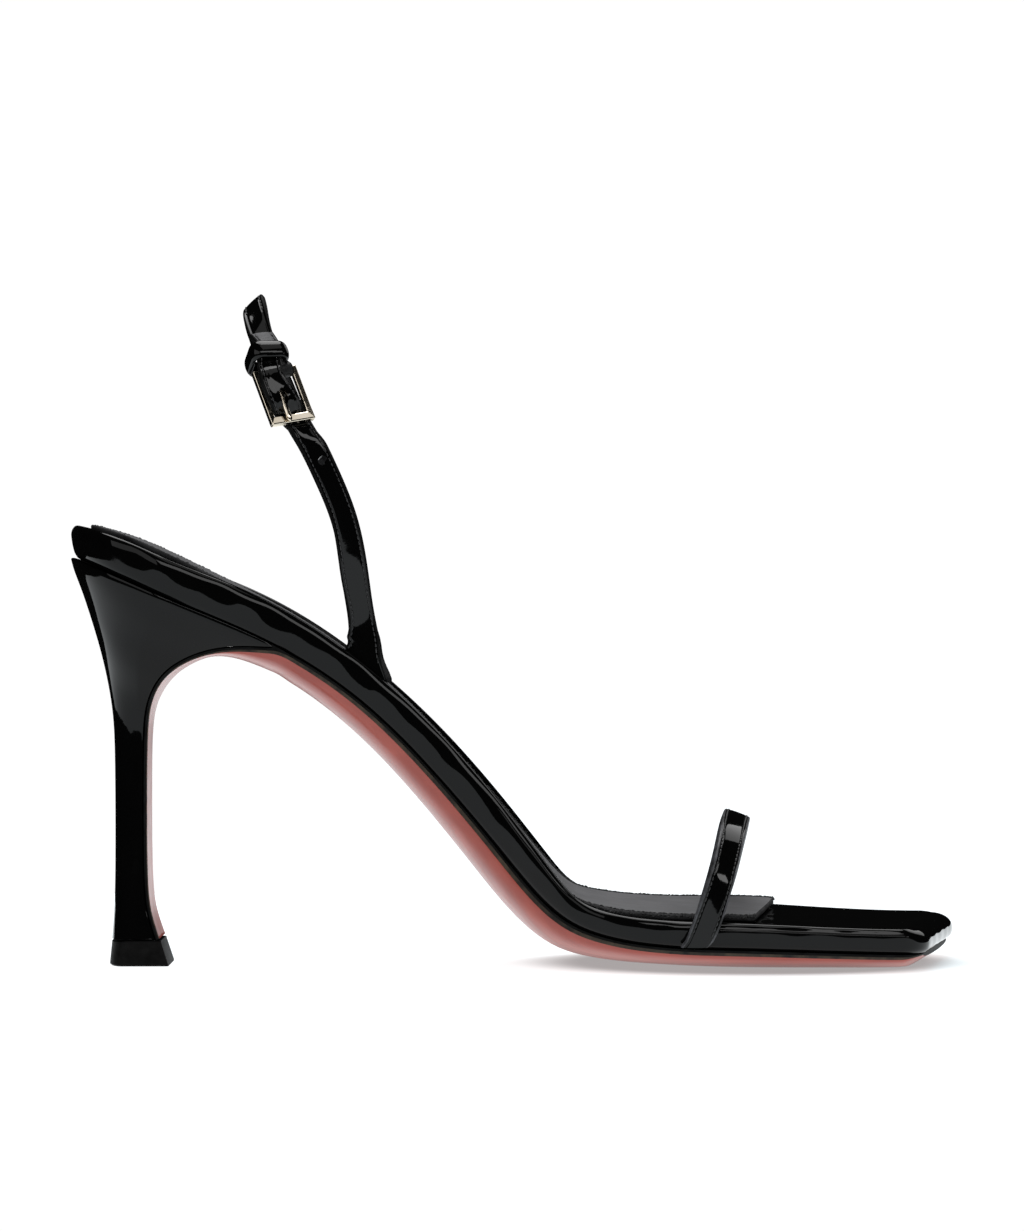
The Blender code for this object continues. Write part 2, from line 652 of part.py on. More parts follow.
def make_hole_strap(root, sling):
    lift = spline(*zip(*HOLE_STRAP))
    start, end = HOLE_STRAP[0].along, HOLE_STRAP[-1].along
    below = sling.buckle + start
    plain = [s - sling.buckle for s in np.linspace(0, below, round(below / SLING_STEP))]
    fastened = list(np.linspace(start, end, round((end - start) / BUCKLE_STEP)))
    stations = plain + fastened[1:]
    path = [sling.lifted(along, lift(along)) for along in stations]
    across = [sling.wide(along) for along in stations]
    widths = [sling.width(sling.buckle + along) for along in stations]
    shell = strap(path, across, widths, [HOLE_STRAP_THICK] * len(path))
    piece = solid("sling_hole_strap", shell, PATENT, root)
    for hole in HOLES:
        punch(piece, root, sling, hole, lift(hole.along))
    return piece


def cutter(name, work, root, matrix, piece):
    """A hidden shape that is cut out of a piece."""
    mesh = bpy.data.meshes.new(name)
    work.to_mesh(mesh)
    work.free()
    shape = bpy.data.objects.new(name, mesh)
    bpy.context.scene.collection.objects.link(shape)
    shape.parent, shape.matrix_local = root, matrix
    shape.hide_render, shape.display_type = True, "WIRE"
    cut = piece.modifiers.new(name, "BOOLEAN")
    cut.object, cut.operation = shape, "DIFFERENCE"


def punch(piece, root, sling, hole, lift):
    work = bmesh.new()
    radius, reach = HOLE_RADIUS * MM, 5 * HOLE_STRAP_THICK * MM
    size = {"segments": HOLE_SIDES, "radius1": radius, "radius2": radius, "depth": reach}
    bmesh.ops.create_cone(work, cap_ends=True, **size)
    bmesh.ops.scale(work, vec=(1, hole.half_length / HOLE_RADIUS, 1), verts=work.verts)
    matrix = sling.frame()
    matrix.translation = sling.lifted(hole.along, lift) * MM
    cutter("punched_hole", work, root, matrix, piece)


def make_back_strap(root, sling):
    route = [Vector((row.along, row.lift, 0)) for row in FOLD]
    keys = np.cumsum([0] + [(b - a).length for a, b in zip(route, route[1:])])
    along_fold, lift_fold, _ = columns_of(route, keys)
    steps = np.linspace(0, keys[-1], round(keys[-1] / BUCKLE_STEP))
    stations = [(along_fold(k), lift_fold(k)) for k in steps]
    rest = sling.length - sling.buckle - FOLD[-1].along
    stations += [(FOLD[-1].along + s, 0.0) for s in np.linspace(0, rest, round(rest / SLING_STEP))[1:]]
    path = [sling.lifted(along, lift) for along, lift in stations]
    across = [sling.wide(along) for along, _ in stations]
    widths = [sling.width(sling.buckle + along) for along, _ in stations]
    thicknesses, past_fold = [], 0.0
    for i in range(len(path)):
        if i * BUCKLE_STEP > keys[-1]:
            past_fold += (path[i] - path[i - 1]).length
        share = min(past_fold / FOLD_BLEND, 1)
        thicknesses.append(FOLD_THICK + (SLING_THICK - FOLD_THICK) * share)
    piece = solid("sling_back_strap", strap(path, across, widths, thicknesses), PATENT, root)
    work = bmesh.new()
    bmesh.ops.create_cube(work, size=1)
    size = Vector((SLOT_WIDTH, SLOT_HIGH - SLOT_LOW, 4 * FRAME_LIFT)) * MM
    bmesh.ops.scale(work, vec=size, verts=work.verts)
    middle = Vector((0, (SLOT_LOW + SLOT_HIGH) / 2, FRAME_LIFT)) * MM
    cutter("prong_slot", work, root, sling.frame() @ Matrix.Translation(middle), piece)
    return piece


def make_buckle_frame(root, sling):
    """A flat rectangular ring with a broad lower bar."""
    half, top, bottom = FRAME_WIDTH / 2, FRAME_LIFT + FRAME_THICK / 2, FRAME_LIFT - FRAME_THICK / 2
    inner_half = half - FRAME_BAR
    outside = [(-half, FRAME_LOW), (half, FRAME_LOW), (half, FRAME_HIGH), (-half, FRAME_HIGH)]
    low, high = FRAME_LOW + FRAME_FRONT_BAR, FRAME_HIGH - FRAME_BAR
    inside = [(-inner_half, low), (inner_half, low), (inner_half, high), (-inner_half, high)]
    shell = Shell()
    loops = []
    for corners, z in ((inside, bottom), (outside, bottom), (outside, top), (inside, top)):
        loops.append(shell.add([(x, y, z) for x, y in corners]))
    for one, two in zip(loops, loops[1:] + loops[:1]):
        shell.bridge(one, two)
    side = Matrix.Translation((FRAME_SIDE * MM, 0, 0))
    piece = solid("buckle_frame", shell, PALE_GOLD, root, sling.frame() @ side)
    bevel = piece.modifiers.new("rounded_bars", "BEVEL")
    bevel.width, bevel.segments, bevel.limit_method = FRAME_ROUND * MM, 2, "ANGLE"
    return piece


def make_buckle_prong(root, sling):
    """A wire hooked round the upper bar, laid straight through the strap onto the lower bar."""
    points = []
    for i in range(HOOK_STEPS + 1):
        angle = HOOK_START + (HOOK_END - HOOK_START) * i / HOOK_STEPS
        along = BAR_ALONG + HOOK_RADIUS * math.cos(angle)
        points.append((0, along, FRAME_LIFT + HOOK_RADIUS * math.sin(angle)))
    points.append((0, PRONG_TIP, FRAME_LIFT + HOOK_RADIUS))
    curve = bpy.data.curves.new("prong_wire", "CURVE")
    curve.dimensions, curve.bevel_depth, curve.bevel_resolution = "3D", PRONG_RADIUS * MM, 2
    curve.use_fill_caps = True
    line = curve.splines.new("POLY")
    line.points.add(len(points) - 1)
    for point, place_at in zip(line.points, points):
        point.co = (*(Vector(place_at) * MM), 1)
    curve.materials.append(finish_material("buckle_prong_material", PALE_GOLD))
    piece = bpy.data.objects.new("buckle_prong", curve)
    bpy.context.scene.collection.objects.link(piece)
    piece.parent, piece.matrix_local = root, sling.frame()
    return piece


def rounded_rectangle(half, low, high, radius):
    """Points round a rectangle with round corners, in the plane across the strap."""
    points = []
    corners = [(half - radius, low + radius, -90), (half - radius, high - radius, 0)]
    corners += [(radius - half, high - radius, 90), (radius - half, low + radius, 180)]
    for x, z, start in corners:
        for i in range(KEEPER_ROUND_STEPS + 1):
            angle = math.radians(start + 90 * i / KEEPER_ROUND_STEPS)
            points.append((x + radius * math.cos(angle), z + radius * math.sin(angle)))
    return points


def make_keeper(root, sling):
    """A leather loop round the strap end and the fold, a little fuller in the middle of its width."""
    inside = rounded_rectangle(KEEPER_HALF_WIDTH, KEEPER_UNDER, KEEPER_OVER, KEEPER_ROUND)
    shell = Shell()
    loops = []
    middle = (KEEPER_LOW + KEEPER_HIGH) / 2
    for along, thick in (
        (KEEPER_LOW, 0),
        (KEEPER_LOW, KEEPER_THICK - KEEPER_BULGE),
        (middle, KEEPER_THICK),
        (KEEPER_HIGH, KEEPER_THICK - KEEPER_BULGE),
        (KEEPER_HIGH, 0),
    ):
        loop = rounded_rectangle(
            KEEPER_HALF_WIDTH + thick, KEEPER_UNDER - thick, KEEPER_OVER + thick, KEEPER_ROUND + thick
        )
        loops.append(shell.add([(x, along - middle, z) for x, z in (loop if thick else inside)]))
    for one, two in zip(loops, loops[1:] + loops[:1]):
        shell.bridge(one, two)
    across = sling.wide(middle)
    out = across.cross(sling.lifted(KEEPER_HIGH, 0) - sling.lifted(KEEPER_LOW, 0)).normalized()
    turn = Matrix((across, out.cross(across), out)).transposed().to_4x4()
    at_middle = Matrix.Translation(sling.lifted(middle, 0) * MM)
    return solid("strap_keeper", shell, PATENT, root, at_middle @ turn)


def main():
    for old in list(bpy.data.objects):
        bpy.data.objects.remove(old)
    root = bpy.data.objects.new("sandal", None)
    root.location = (FRAME_SHIFT[0] * MM, FRAME_SHIFT[1] * MM, 0)
    bpy.context.scene.collection.objects.link(root)
    make_footbed(root)
    make_sock(root)
    make_heel(root)
    make_top_piece(root)
    make_outsole(root)
    make_toe_strap(root)
    sling = Sling()
    make_hole_strap(root, sling)
    make_back_strap(root, sling)
    make_buckle_frame(root, sling)
    make_buckle_prong(root, sling)
    make_keeper(root, sling)


main()
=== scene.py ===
"""Right-foot slingback sandal in black patent leather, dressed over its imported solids.

Lengths are in millimetres and become metres as each mesh is made. +X points to the toe, -Y is the outer
side of the foot and +Z is up.
"""

import logging
import math
from collections.abc import Callable, Sequence
from dataclasses import dataclass
from enum import Enum
from functools import partial
from typing import NamedTuple

import bmesh
import bpy
import numpy as np
from mathutils import Matrix, Vector


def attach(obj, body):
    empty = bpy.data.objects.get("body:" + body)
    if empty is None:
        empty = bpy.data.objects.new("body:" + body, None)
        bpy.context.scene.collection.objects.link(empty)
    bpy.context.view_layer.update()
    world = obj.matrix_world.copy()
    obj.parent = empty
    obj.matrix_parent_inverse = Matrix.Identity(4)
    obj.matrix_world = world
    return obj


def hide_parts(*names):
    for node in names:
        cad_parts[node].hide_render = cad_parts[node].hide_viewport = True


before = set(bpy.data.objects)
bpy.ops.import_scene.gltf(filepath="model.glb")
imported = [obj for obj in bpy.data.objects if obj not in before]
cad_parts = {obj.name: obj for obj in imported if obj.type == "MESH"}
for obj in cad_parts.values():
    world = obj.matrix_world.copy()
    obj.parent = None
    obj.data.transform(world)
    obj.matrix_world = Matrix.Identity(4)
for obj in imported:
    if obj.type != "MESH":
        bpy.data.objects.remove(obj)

Material = bpy.types.Material
Piece = bpy.types.Object
Socket = bpy.types.NodeSocket
Tree = bpy.types.NodeTree
Line = list[Vector]
Span = tuple[float, float]
Place = tuple[float, float, float]

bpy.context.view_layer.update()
LOG = logging.getLogger("sandal")
MM = 0.001
GAP = 0.3  # between pieces that lie on each other
SHIFT = Vector((-0.12, -0.16, 0.0))  # puts the middle of the sandal on the origin, as its solids have it
SMOOTH_ANGLE = math.radians(42)
PATCH_STOPS = (0.32, 0.68)  # where a noise reaches the darker and the lighter shade


class Side(Enum):
    """A side of the foot, as the sign of y."""

    OUTER = -1
    INNER = 1


class Face(Enum):
    """A surface of a strap, as its material index."""

    GLOSS = 0
    EDGE = 1
    LINING = 2
    TAIL = 3


class SoleFace(Enum):
    """A surface of the sole, as its material index."""

    LACQUER = 0
    INK = 1
    RAW = 2


class Mark(Enum):
    """What is set along a line, as the name of its pattern."""

    STITCH = "stitches_along_lines"
    FIBRE = "fibres_along_lines"


class Curve:
    """Natural cubic curve through points, which holds its end values outside them."""

    def __init__(self, xs: Sequence[float], ys: Sequence[float]) -> None:
        """Solves for the bend at each point.

        Args:
            xs: keys, rising.
            ys: value at each key.
        """
        self.xs = np.asarray(xs, float)
        self.ys = np.asarray(ys, float)
        self.step = np.diff(self.xs)
        count = len(self.xs)
        matrix = np.eye(count)
        right = np.zeros(count)
        for i in range(1, count - 1):
            before, after = self.step[i - 1 : i + 1]
            matrix[i, i - 1 : i + 2] = before, 2 * (before + after), after
            rise_after = (self.ys[i + 1] - self.ys[i]) / after
            rise_before = (self.ys[i] - self.ys[i - 1]) / before
            right[i] = 6 * (rise_after - rise_before)
        self.bend = np.linalg.solve(matrix, right)

    def __call__(self, x: float) -> float:
        """Value at a key.

        Args:
            x: the key.

        Returns:
            The curve's value there.
        """
        x = min(max(x, self.xs[0]), self.xs[-1])
        i = min(max(int(np.searchsorted(self.xs, x)) - 1, 0), len(self.xs) - 2)
        a = (self.xs[i + 1] - x) / self.step[i]
        b = 1 - a
        bulge = ((a**3 - a) * self.bend[i] + (b**3 - b) * self.bend[i + 1]) * self.step[i] ** 2 / 6
        return float(a * self.ys[i] + b * self.ys[i + 1] + bulge)

    def slope(self, x: float) -> float:
        """Rise of the curve over the millimetre round a key."""
        return self(x + 0.5) - self(x - 0.5)


def curves_of(table: Sequence[Sequence[float]], keys: Sequence[float]) -> list[Curve]:
    """One curve for each column of a table, in the order of the columns."""
    return [Curve(keys, column) for column in zip(*table)]


def ease(value: float, low: float, high: float) -> float:
    """Smooth share from 0 at low to 1 at high."""
    share = min(max((value - low) / (high - low), 0.0), 1.0)
    return share * share * (3 - 2 * share)


def even_steps(start: float, end: float, pitch: float) -> list[float]:
    """Numbers from start to end, about one pitch apart."""
    return list(np.linspace(start, end, max(round(abs(end - start) / pitch), 1) + 1))


def lengths_along(points: Sequence[Vector]) -> list[float]:
    """Length along a row of points at each of them."""
    return list(np.cumsum([0] + [(b - a).length for a, b in zip(points, points[1:])]))


def linked(name: str, data: bpy.types.ID) -> Piece:
    """A new object in the scene, at the origin.

    Args:
        name: its name.
        data: its mesh, light or camera.

    Returns:
        The object.
    """
    made = bpy.data.objects.new(name, data)
    bpy.context.scene.collection.objects.link(made)
    return made


def mesh_of(name: str, work: bmesh.types.BMesh) -> bpy.types.Mesh:
    """The mesh of a worked shape, which is freed.

    Args:
        name: name of the mesh.
        work: the shape, in metres.

    Returns:
        The mesh.
    """
    mesh = bpy.data.meshes.new(name)
    work.to_mesh(mesh)
    work.free()
    return mesh


class Skin:
    """Points and faces of one closed piece, in millimetres, with a material index for each face."""

    def __init__(self) -> None:
        """Starts empty."""
        self.points: Line = []
        self.faces: list[tuple[int, ...]] = []
        self.slots: list[int] = []

    def add(self, points: Sequence[Sequence[float]]) -> list[int]:
        """Adds points.

        Args:
            points: places in millimetres.

        Returns:
            Their numbers.
        """
        first = len(self.points)
        self.points.extend(Vector(point) for point in points)
        return list(range(first, len(self.points)))

    def face(self, corners: Sequence[int], slot: int = 0) -> None:
        """Adds one face with a material index."""
        self.faces.append(tuple(corners))
        self.slots.append(slot)

    def bridge(self, one: Sequence[int], two: Sequence[int], slots: Sequence[int] | None = None) -> None:
        """Faces between two closed loops of as many points.

        Args:
            one: first loop.
            two: second loop.
            slots: material index of each step round the loop.
        """
        count = len(one)
        for i in range(count):
            j = (i + 1) % count
            self.face((one[i], one[j], two[j], two[i]), slots[i] if slots else 0)

    def loft(self, loops: Sequence[Line], slots: Sequence[int] | None = None, ends: int = 0) -> None:
        """Closed loops joined one after another, with both ends closed.

        Args:
            loops: points of each loop.
            slots: material index of each step round a loop.
            ends: material index of the two ends.
        """
        numbers = [self.add(loop) for loop in loops]
        for one, two in zip(numbers, numbers[1:]):
            self.bridge(one, two, slots)
        self.face(numbers[0], ends)
        self.face(numbers[-1], ends)

    def ring(self, loops: Sequence[Line]) -> None:
        """Closed loops joined one after another, and the last one to the first.

        Args:
            loops: points of each loop.
        """
        numbers = [self.add(loop) for loop in loops]
        for one, two in zip(numbers, numbers[1:] + numbers[:1]):
            self.bridge(one, two)

    def patch(self, rows: Sequence[Sequence[int]]) -> None:
        """Faces over rows of as many points each.

        Args:
            rows: numbers of the points of each row.
        """
        for one, two in zip(rows, rows[1:]):
            for i in range(len(one) - 1):
                self.face((one[i], one[i + 1], two[i + 1], two[i]))

    def piece(self, name: str, *materials: Material) -> Piece:
        """Makes the object: at the origin, facing out, and smooth between its sharp edges.

        Args:
            name: name of the object.
            *materials: its material slots.

        Returns:
            The object.
        """
        work = bmesh.new()
        corners = [work.verts.new((point + SHIFT) * MM) for point in self.points]
        for face, slot in zip(self.faces, self.slots):
            made = work.faces.new([corners[i] for i in face])
            made.material_index = slot
        bmesh.ops.recalc_face_normals(work, faces=work.faces)
        mesh = mesh_of(name, work)
        for material in materials:
            mesh.materials.append(material)
        mesh.shade_smooth()
        mesh.set_sharp_from_angle(angle=SMOOTH_ANGLE)
        return linked(name, mesh)


def settle(piece: Piece) -> None:
    """Turns a piece's modifiers into its plain mesh.

    Args:
        piece: object with live modifiers, which has none left afterwards.
    """
    bpy.context.view_layer.update()
    graph = bpy.context.evaluated_depsgraph_get()
    made = bpy.data.meshes.new_from_object(piece.evaluated_get(graph))
    piece.modifiers.clear()
    piece.data = made


def hand_over(piece: Piece, slot: str, *nodes: str) -> Piece:
    """Hangs a finished piece on the frame.

    Args:
        piece: finished object.
        slot: the record's material slot; not used.
        *nodes: solids that it stands for.

    Returns:
        The piece.
    """
    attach(piece, "root")
    if nodes:
        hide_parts(*nodes)
    return piece


def linear(code: str) -> tuple[float, float, float, float]:
    """Linear colour of an sRGB hex code.

    Args:
        code: six hex digits after a hash sign.

    Returns:
        Red, green, blue, and an alpha of 1.
    """
    values = [int(code[i : i + 2], 16) / 255 for i in (1, 3, 5)]
    made = [v / 12.92 if v <= 0.04045 else ((v + 0.055) / 1.055) ** 2.4 for v in values]
    return (*made, 1.0)


def give(tree: Tree, node: bpy.types.Node, inputs: dict[str | int, object]) -> None:
    """Fills the inputs of a node.

    Args:
        tree: tree of the node.
        node: the node.
        inputs: for each input, the value it holds or the socket it is linked from.
    """
    for key, value in inputs.items():
        if isinstance(value, Socket):
            tree.links.new(value, node.inputs[key])
        else:
            node.inputs[key].default_value = value


def add_node(
    tree: Tree, kind: str, inputs: dict[str | int, object] | None = None, **settings: object
) -> bpy.types.Node:
    """Adds a node with its settings and links.

    Args:
        tree: tree that gets the node.
        kind: type of the node.
        inputs: for each input, the value it holds or the socket it is linked from.
        **settings: properties of the node.

    Returns:
        The node.
    """
    node = tree.nodes.new(kind)
    for key, value in settings.items():
        setattr(node, key, value)
    give(tree, node, inputs or {})
    return node


class Surface:
    """A material as it is made, on Object coordinates in metres. Sizes are given in millimetres."""

    def __init__(self, finish: "Finish") -> None:
        """Makes the material with its plain shader.

        Args:
            finish: name and even values of the material.
        """
        self.material = bpy.data.materials.new(finish.name)
        self.material.use_nodes = True
        self.tree = self.material.node_tree
        self.add = partial(add_node, self.tree)
        self.where = self.add("ShaderNodeTexCoord").outputs["Object"]
        self.normal: Socket | None = None
        self.roughness = finish.roughness
        self.set("Base Color", linear(finish.colour))
        self.set("Roughness", finish.roughness)
        self.set("Metallic", finish.metallic)
        self.set("Specular IOR Level", finish.specular)

    def set(self, name: str, value: object) -> None:
        """Gives an input of the shader a value, or the socket it is linked from."""
        give(self.tree, self.tree.nodes["Principled BSDF"], {name: value})

    def noise(
        self, size: float, detail: float, where: Socket | None = None, distortion: float = 0.0
    ) -> Socket:
        """Soft noise.

        Args:
            size: width of a patch.
            detail: detail of the noise.
            where: coordinates, if not the object's own.
            distortion: how far the patches are drawn about.

        Returns:
            Its value.
        """
        inputs = {"Vector": self.where if where is None else where, "Scale": 1 / (size * MM)}
        inputs |= {"Detail": detail, "Distortion": distortion}
        return self.add("ShaderNodeTexNoise", inputs).outputs["Fac"]

    def mottle(self, low: str, high: str, noise: Socket) -> None:
        """Lets the colour drift between two shades.

        Args:
            low: first shade.
            high: second shade.
            noise: where each of them is.
        """
        ramp = self.add("ShaderNodeValToRGB", {"Fac": noise})
        for stop, position, shade in zip(ramp.color_ramp.elements, PATCH_STOPS, (low, high)):
            stop.position = position
            stop.color = linear(shade)
        self.set("Base Color", ramp.outputs["Color"])

    def bump(self, height: Socket, depth: float) -> None:
        """Raises the surface, over the bumps that it has already.

        Args:
            height: share of the depth.
            depth: height of the bump.
        """
        inputs = {"Height": height, "Distance": depth * MM}
        if self.normal is not None:
            inputs["Normal"] = self.normal
        self.normal = self.add("ShaderNodeBump", inputs).outputs["Normal"]
        self.set("Normal", self.normal)

    def scuff(self, noise: Socket, low: float, high: float) -> None:
        """Lets the roughness drift.

        Args:
            noise: where it is low or high.
            low: lower share of the finish's own roughness.
            high: higher share.
        """
        inputs = {"Value": noise, "To Min": self.roughness * low, "To Max": self.roughness * high}
        self.set("Roughness", self.add("ShaderNodeMapRange", inputs).outputs["Result"])


@dataclass(frozen=True)
class Finish:
    """A material: its even values, the patches that its colour drifts in, and the waves of its surface."""

    name: str
    colour: str
    roughness: float
    metallic: float = 0.0
    specular: float = 0.5
    shade: str = "#ffffff"
    patch: float = 3.0
    patch_detail: float = 4.0
    wave: float = 1.6
    wave_depth: float = 0.05
    wave_detail: float = 3.0

    def dress(self, surface: Surface) -> None:
        """Gives a surface its patches and waves."""
        surface.mottle(self.colour, self.shade, surface.noise(self.patch, self.patch_detail))
        surface.bump(surface.noise(self.wave, self.wave_detail), self.wave_depth)

    def material(self) -> Material:
        """Makes the material.

        Returns:
            The material.
        """
        surface = Surface(self)
        self.dress(surface)
        return surface.material


@dataclass(frozen=True)
class PatentLeather(Finish):
    """Hide under a poured film: deep black, mirror gloss, with the hide's slow waves in its reflections."""

    wave: float = 15.0
    wave_depth: float = 0.28
    wave_detail: float = 1.0
    film: float = 2.2
    film_depth: float = 0.012
    film_detail: float = 2.0
    haze: float = 9.0
    haze_detail: float = 5.0
    haze_range: Span = (0.6, 1.5)
    crease_at: Place | None = None
    crease_turn: Place = (0.0, 0.0, 0.0)
    crease: float = 3.4
    crease_stretch: float = 3.2
    crease_reach: float = 12.0
    crease_depth: float = 0.6
    crease_detail: float = 1.0
    crease_twist: float = 0.9

    def dress(self, surface: Surface) -> None:
        """Gives a surface its waves and its haze, and the folds where it is bent.

        Args:
            surface: the surface.
        """
        surface.bump(surface.noise(self.wave, self.wave_detail), self.wave_depth)
        surface.bump(surface.noise(self.film, self.film_detail), self.film_depth)
        if self.crease_at:
            surface.bump(self.folds(surface), self.crease_depth)
        surface.scuff(surface.noise(self.haze, self.haze_detail), *self.haze_range)

    def folds(self, surface: Surface) -> Socket:
        """Folds in the film round the buckle, where the strap is bent hard.

        Args:
            surface: the surface.

        Returns:
            Their height.
        """
        place = (Vector(self.crease_at) + SHIFT) * MM
        reach = self.crease_reach * MM
        ends = {0: surface.where, 1: place}
        away = surface.add("ShaderNodeVectorMath", ends, operation="DISTANCE").outputs["Value"]
        fade = {"Value": away, "From Min": reach / 2, "From Max": reach, "To Min": 1.0, "To Max": 0.0}
        share = surface.add("ShaderNodeMapRange", fade).outputs["Result"]
        drawn = {"Vector": surface.where, "Location": place, "Rotation": self.crease_turn}
        drawn["Scale"] = (1.0, self.crease_stretch, 1.0)
        along = surface.add("ShaderNodeMapping", drawn, vector_type="TEXTURE").outputs["Vector"]
        fold = surface.noise(self.crease, self.crease_detail, along, self.crease_twist)
        return surface.add("ShaderNodeMath", {0: fold, 1: share}, operation="MULTIPLY").outputs["Value"]


@dataclass(frozen=True)
class EdgeInk(Finish):
    """Acrylic ink rolled on cut leather edges: black, half gloss, a little lumpy."""

    shade: str = "#141414"


@dataclass(frozen=True)
class HeelRubber(Finish):
    """Moulded polyurethane of the top piece: black, dull, with a fine ground texture."""

    shade: str = "#111111"
    patch: float = 2.0
    patch_detail: float = 6.0
    wave: float = 0.7
    wave_detail: float = 5.0


@dataclass(frozen=True)
class PaleGold(Finish):
    """Zinc casting with pale gold plate, polished: warm silver, with faint polishing waves."""

    metallic: float = 1.0
    shade: str = "#e6dccb"
    patch: float = 3.5
    wave: float = 4.0
    wave_depth: float = 0.008
    wave_detail: float = 2.0


@dataclass(frozen=True)
class Thread(Finish):
    """Bonded polyester thread: black, slightly waxy, with its twist drawn coarse enough to show."""

    shade: str = "#262627"
    patch: float = 1.5
    wave: float = 0.5
    wave_depth: float = 0.08
    wave_detail: float = 2.0


@dataclass(frozen=True)
class GrainedLeather(Finish):
    """Chrome-tanned leather with open grain: matte, mottled, with fine pebbles and pores."""

    patch: float = 7.0
    patch_detail: float = 7.0
    wave: float = 9.0
    wave_depth: float = 0.25
    grain: float = 0.9
    grain_depth: float = 0.09

    def dress(self, surface: Surface) -> None:
        """Gives a surface its pebbles below its patches and waves.

        Args:
            surface: the surface.
        """
        pebbles = {"Vector": surface.where, "Scale": 1 / (self.grain * MM)}
        grain = surface.add("ShaderNodeTexVoronoi", pebbles, feature="SMOOTH_F1").outputs["Distance"]
        surface.bump(grain, self.grain_depth)
        super().dress(surface)


@dataclass(frozen=True)
class SoleLeather(Finish):
    """Vegetable-tanned sole leather, lacquered red: satin, with faint sanding streaks along the shoe."""

    patch: float = 4.0
    patch_detail: float = 6.0
    wave: float = 14.0
    wave_depth: float = 0.12
    wave_detail: float = 1.0
    streak: float = 0.8
    streak_depth: float = 0.012
    streak_detail: float = 4.0
    streak_scale: Place = (0.16, 1.0, 0.5)
    scuff: float = 2.5
    scuff_detail: float = 6.0
    scuff_range: Span = (0.7, 1.4)
    lacquer: float = 0.35
    lacquer_gloss: float = 0.6

    def dress(self, surface: Surface) -> None:
        """Gives a surface its streaks, its waves, its scuffs and its lacquer.

        Args:
            surface: the surface.
        """
        drawn = {"Vector": surface.where, "Scale": self.streak_scale}
        along = surface.add("ShaderNodeMapping", drawn).outputs["Vector"]
        surface.mottle(self.colour, self.shade, surface.noise(self.patch, self.patch_detail, along))
        surface.bump(surface.noise(self.streak, self.streak_detail, along), self.streak_depth)
        surface.bump(surface.noise(self.wave, self.wave_detail), self.wave_depth)
        surface.scuff(surface.noise(self.scuff, self.scuff_detail, along), *self.scuff_range)
        surface.set("Coat Weight", self.lacquer)
        surface.set("Coat Roughness", self.roughness * self.lacquer_gloss)


class Wardrobe:
    """Every finish of the sandal, made once."""

    def __init__(self, buckle: Matrix) -> None:
        """Makes the materials.

        Args:
            buckle: axes of the buckle, where the strap is creased.
        """
        bent = {"crease_at": tuple(buckle.translation), "crease_turn": tuple(buckle.to_euler())}
        strap = {"specular": 0.23, "wave": 9.0, "wave_depth": 0.12}
        red = {"specular": 0.4, "shade": "#a34638"}
        self.patent = PatentLeather("black_patent_leather", "#050505", 0.045, specular=0.18).material()
        self.strap_patent = PatentLeather("black_patent_strap", "#050505", 0.05, **strap, **bent).material()
        self.ink = EdgeInk("black_edge_ink", "#060606", 0.5, specular=0.05).material()
        # The toe strap's edges are grey instead of black ink: painted light that stands in for light
        # falling on them.
        self.painted_light_strap_edge = EdgeInk("toe_strap_edge_painted_light", "#505054", 0.45, specular=0.3).material()
        self.lining = self.grained("black_lining_leather", "#0e0e0f", "#1a1a1b", 0.5, 0.2)
        self.tail = self.grained("grey_strap_end", "#4c4c4e", "#626264", 0.6, 0.2)
        # The sock's leather is dark. Its grey base colour is painted sheen in place of its glossy
        # reflection at a low angle.
        self.sock = self.grained("dark_sock_leather_painted_sheen", "#58585a", "#646466", 0.6, 0.25)
        self.sock_edge = self.grained("frayed_sock_edge", "#1c1c1d", "#39393a", 0.8, 0.1)
        self.sole = SoleLeather("red_lacquered_sole_leather", "#8f382d", 0.34, **red).material()
        self.raw_edge = EdgeInk("tan_raw_leather_edge", "#453b30", 0.5, specular=0.2).material()
        self.rubber = HeelRubber("black_polyurethane", "#050505", 0.5, specular=0.06).material()
        self.gold = PaleGold("pale_gold_plate", "#d6cab6", 0.12).material()
        self.thread = Thread("black_polyester_thread", "#0a0a0b", 0.5).material()
        self.sock_thread = Thread("charcoal_overlock_thread", "#1b1b1c", 0.7).material()

    @staticmethod
    def grained(name: str, colour: str, shade: str, roughness: float, specular: float) -> Material:
        """A grained leather that drifts between two shades."""
        return GrainedLeather(name, colour, roughness, specular=specular, shade=shade).material()


class Edge(NamedTuple):
    """A point of a plan outline with the direction that points in from it."""

    x: float
    y: float
    nx: float
    ny: float

    def moved_in(self, inset: float) -> "Edge":
        """The point moved in square to the outline."""
        return Edge(self.x + self.nx * inset, self.y + self.ny * inset, self.nx, self.ny)


def edge_at(x: float, y: float, nx: float, ny: float) -> Edge:
    """An outline point whose direction is made one long."""
    length = math.hypot(nx, ny)
    return Edge(x, y, nx / length, ny / length)


class Plan(NamedTuple):
    """Outline of a plate: two sides from heel to toe, and two ends from the outer to the inner side."""

    outer: list[Edge]
    inner: list[Edge]
    back: list[Edge]
    front: list[Edge]

    def ring(self) -> list[Edge]:
        """The outline once round: outer side, toe, inner side, heel."""
        return self.outer + self.front[1:-1] + self.inner[::-1] + self.back[-2:0:-1]


class Station(NamedTuple):
    """Footbed's half widths, heights of its rim and lower edge, dish of its top, belly of the sole."""

    x: float
    outer: float
    inner: float
    rim: float
    base: float
    dish: float
    belly: float


class Section(NamedTuple):
    """A heel section: back point, front point on the sole's face, half widths, round back, sole's belly."""

    back_x: float
    back_z: float
    breast_x: float
    breast_z: float
    half: float
    breast_half: float
    round: float
    belly: float


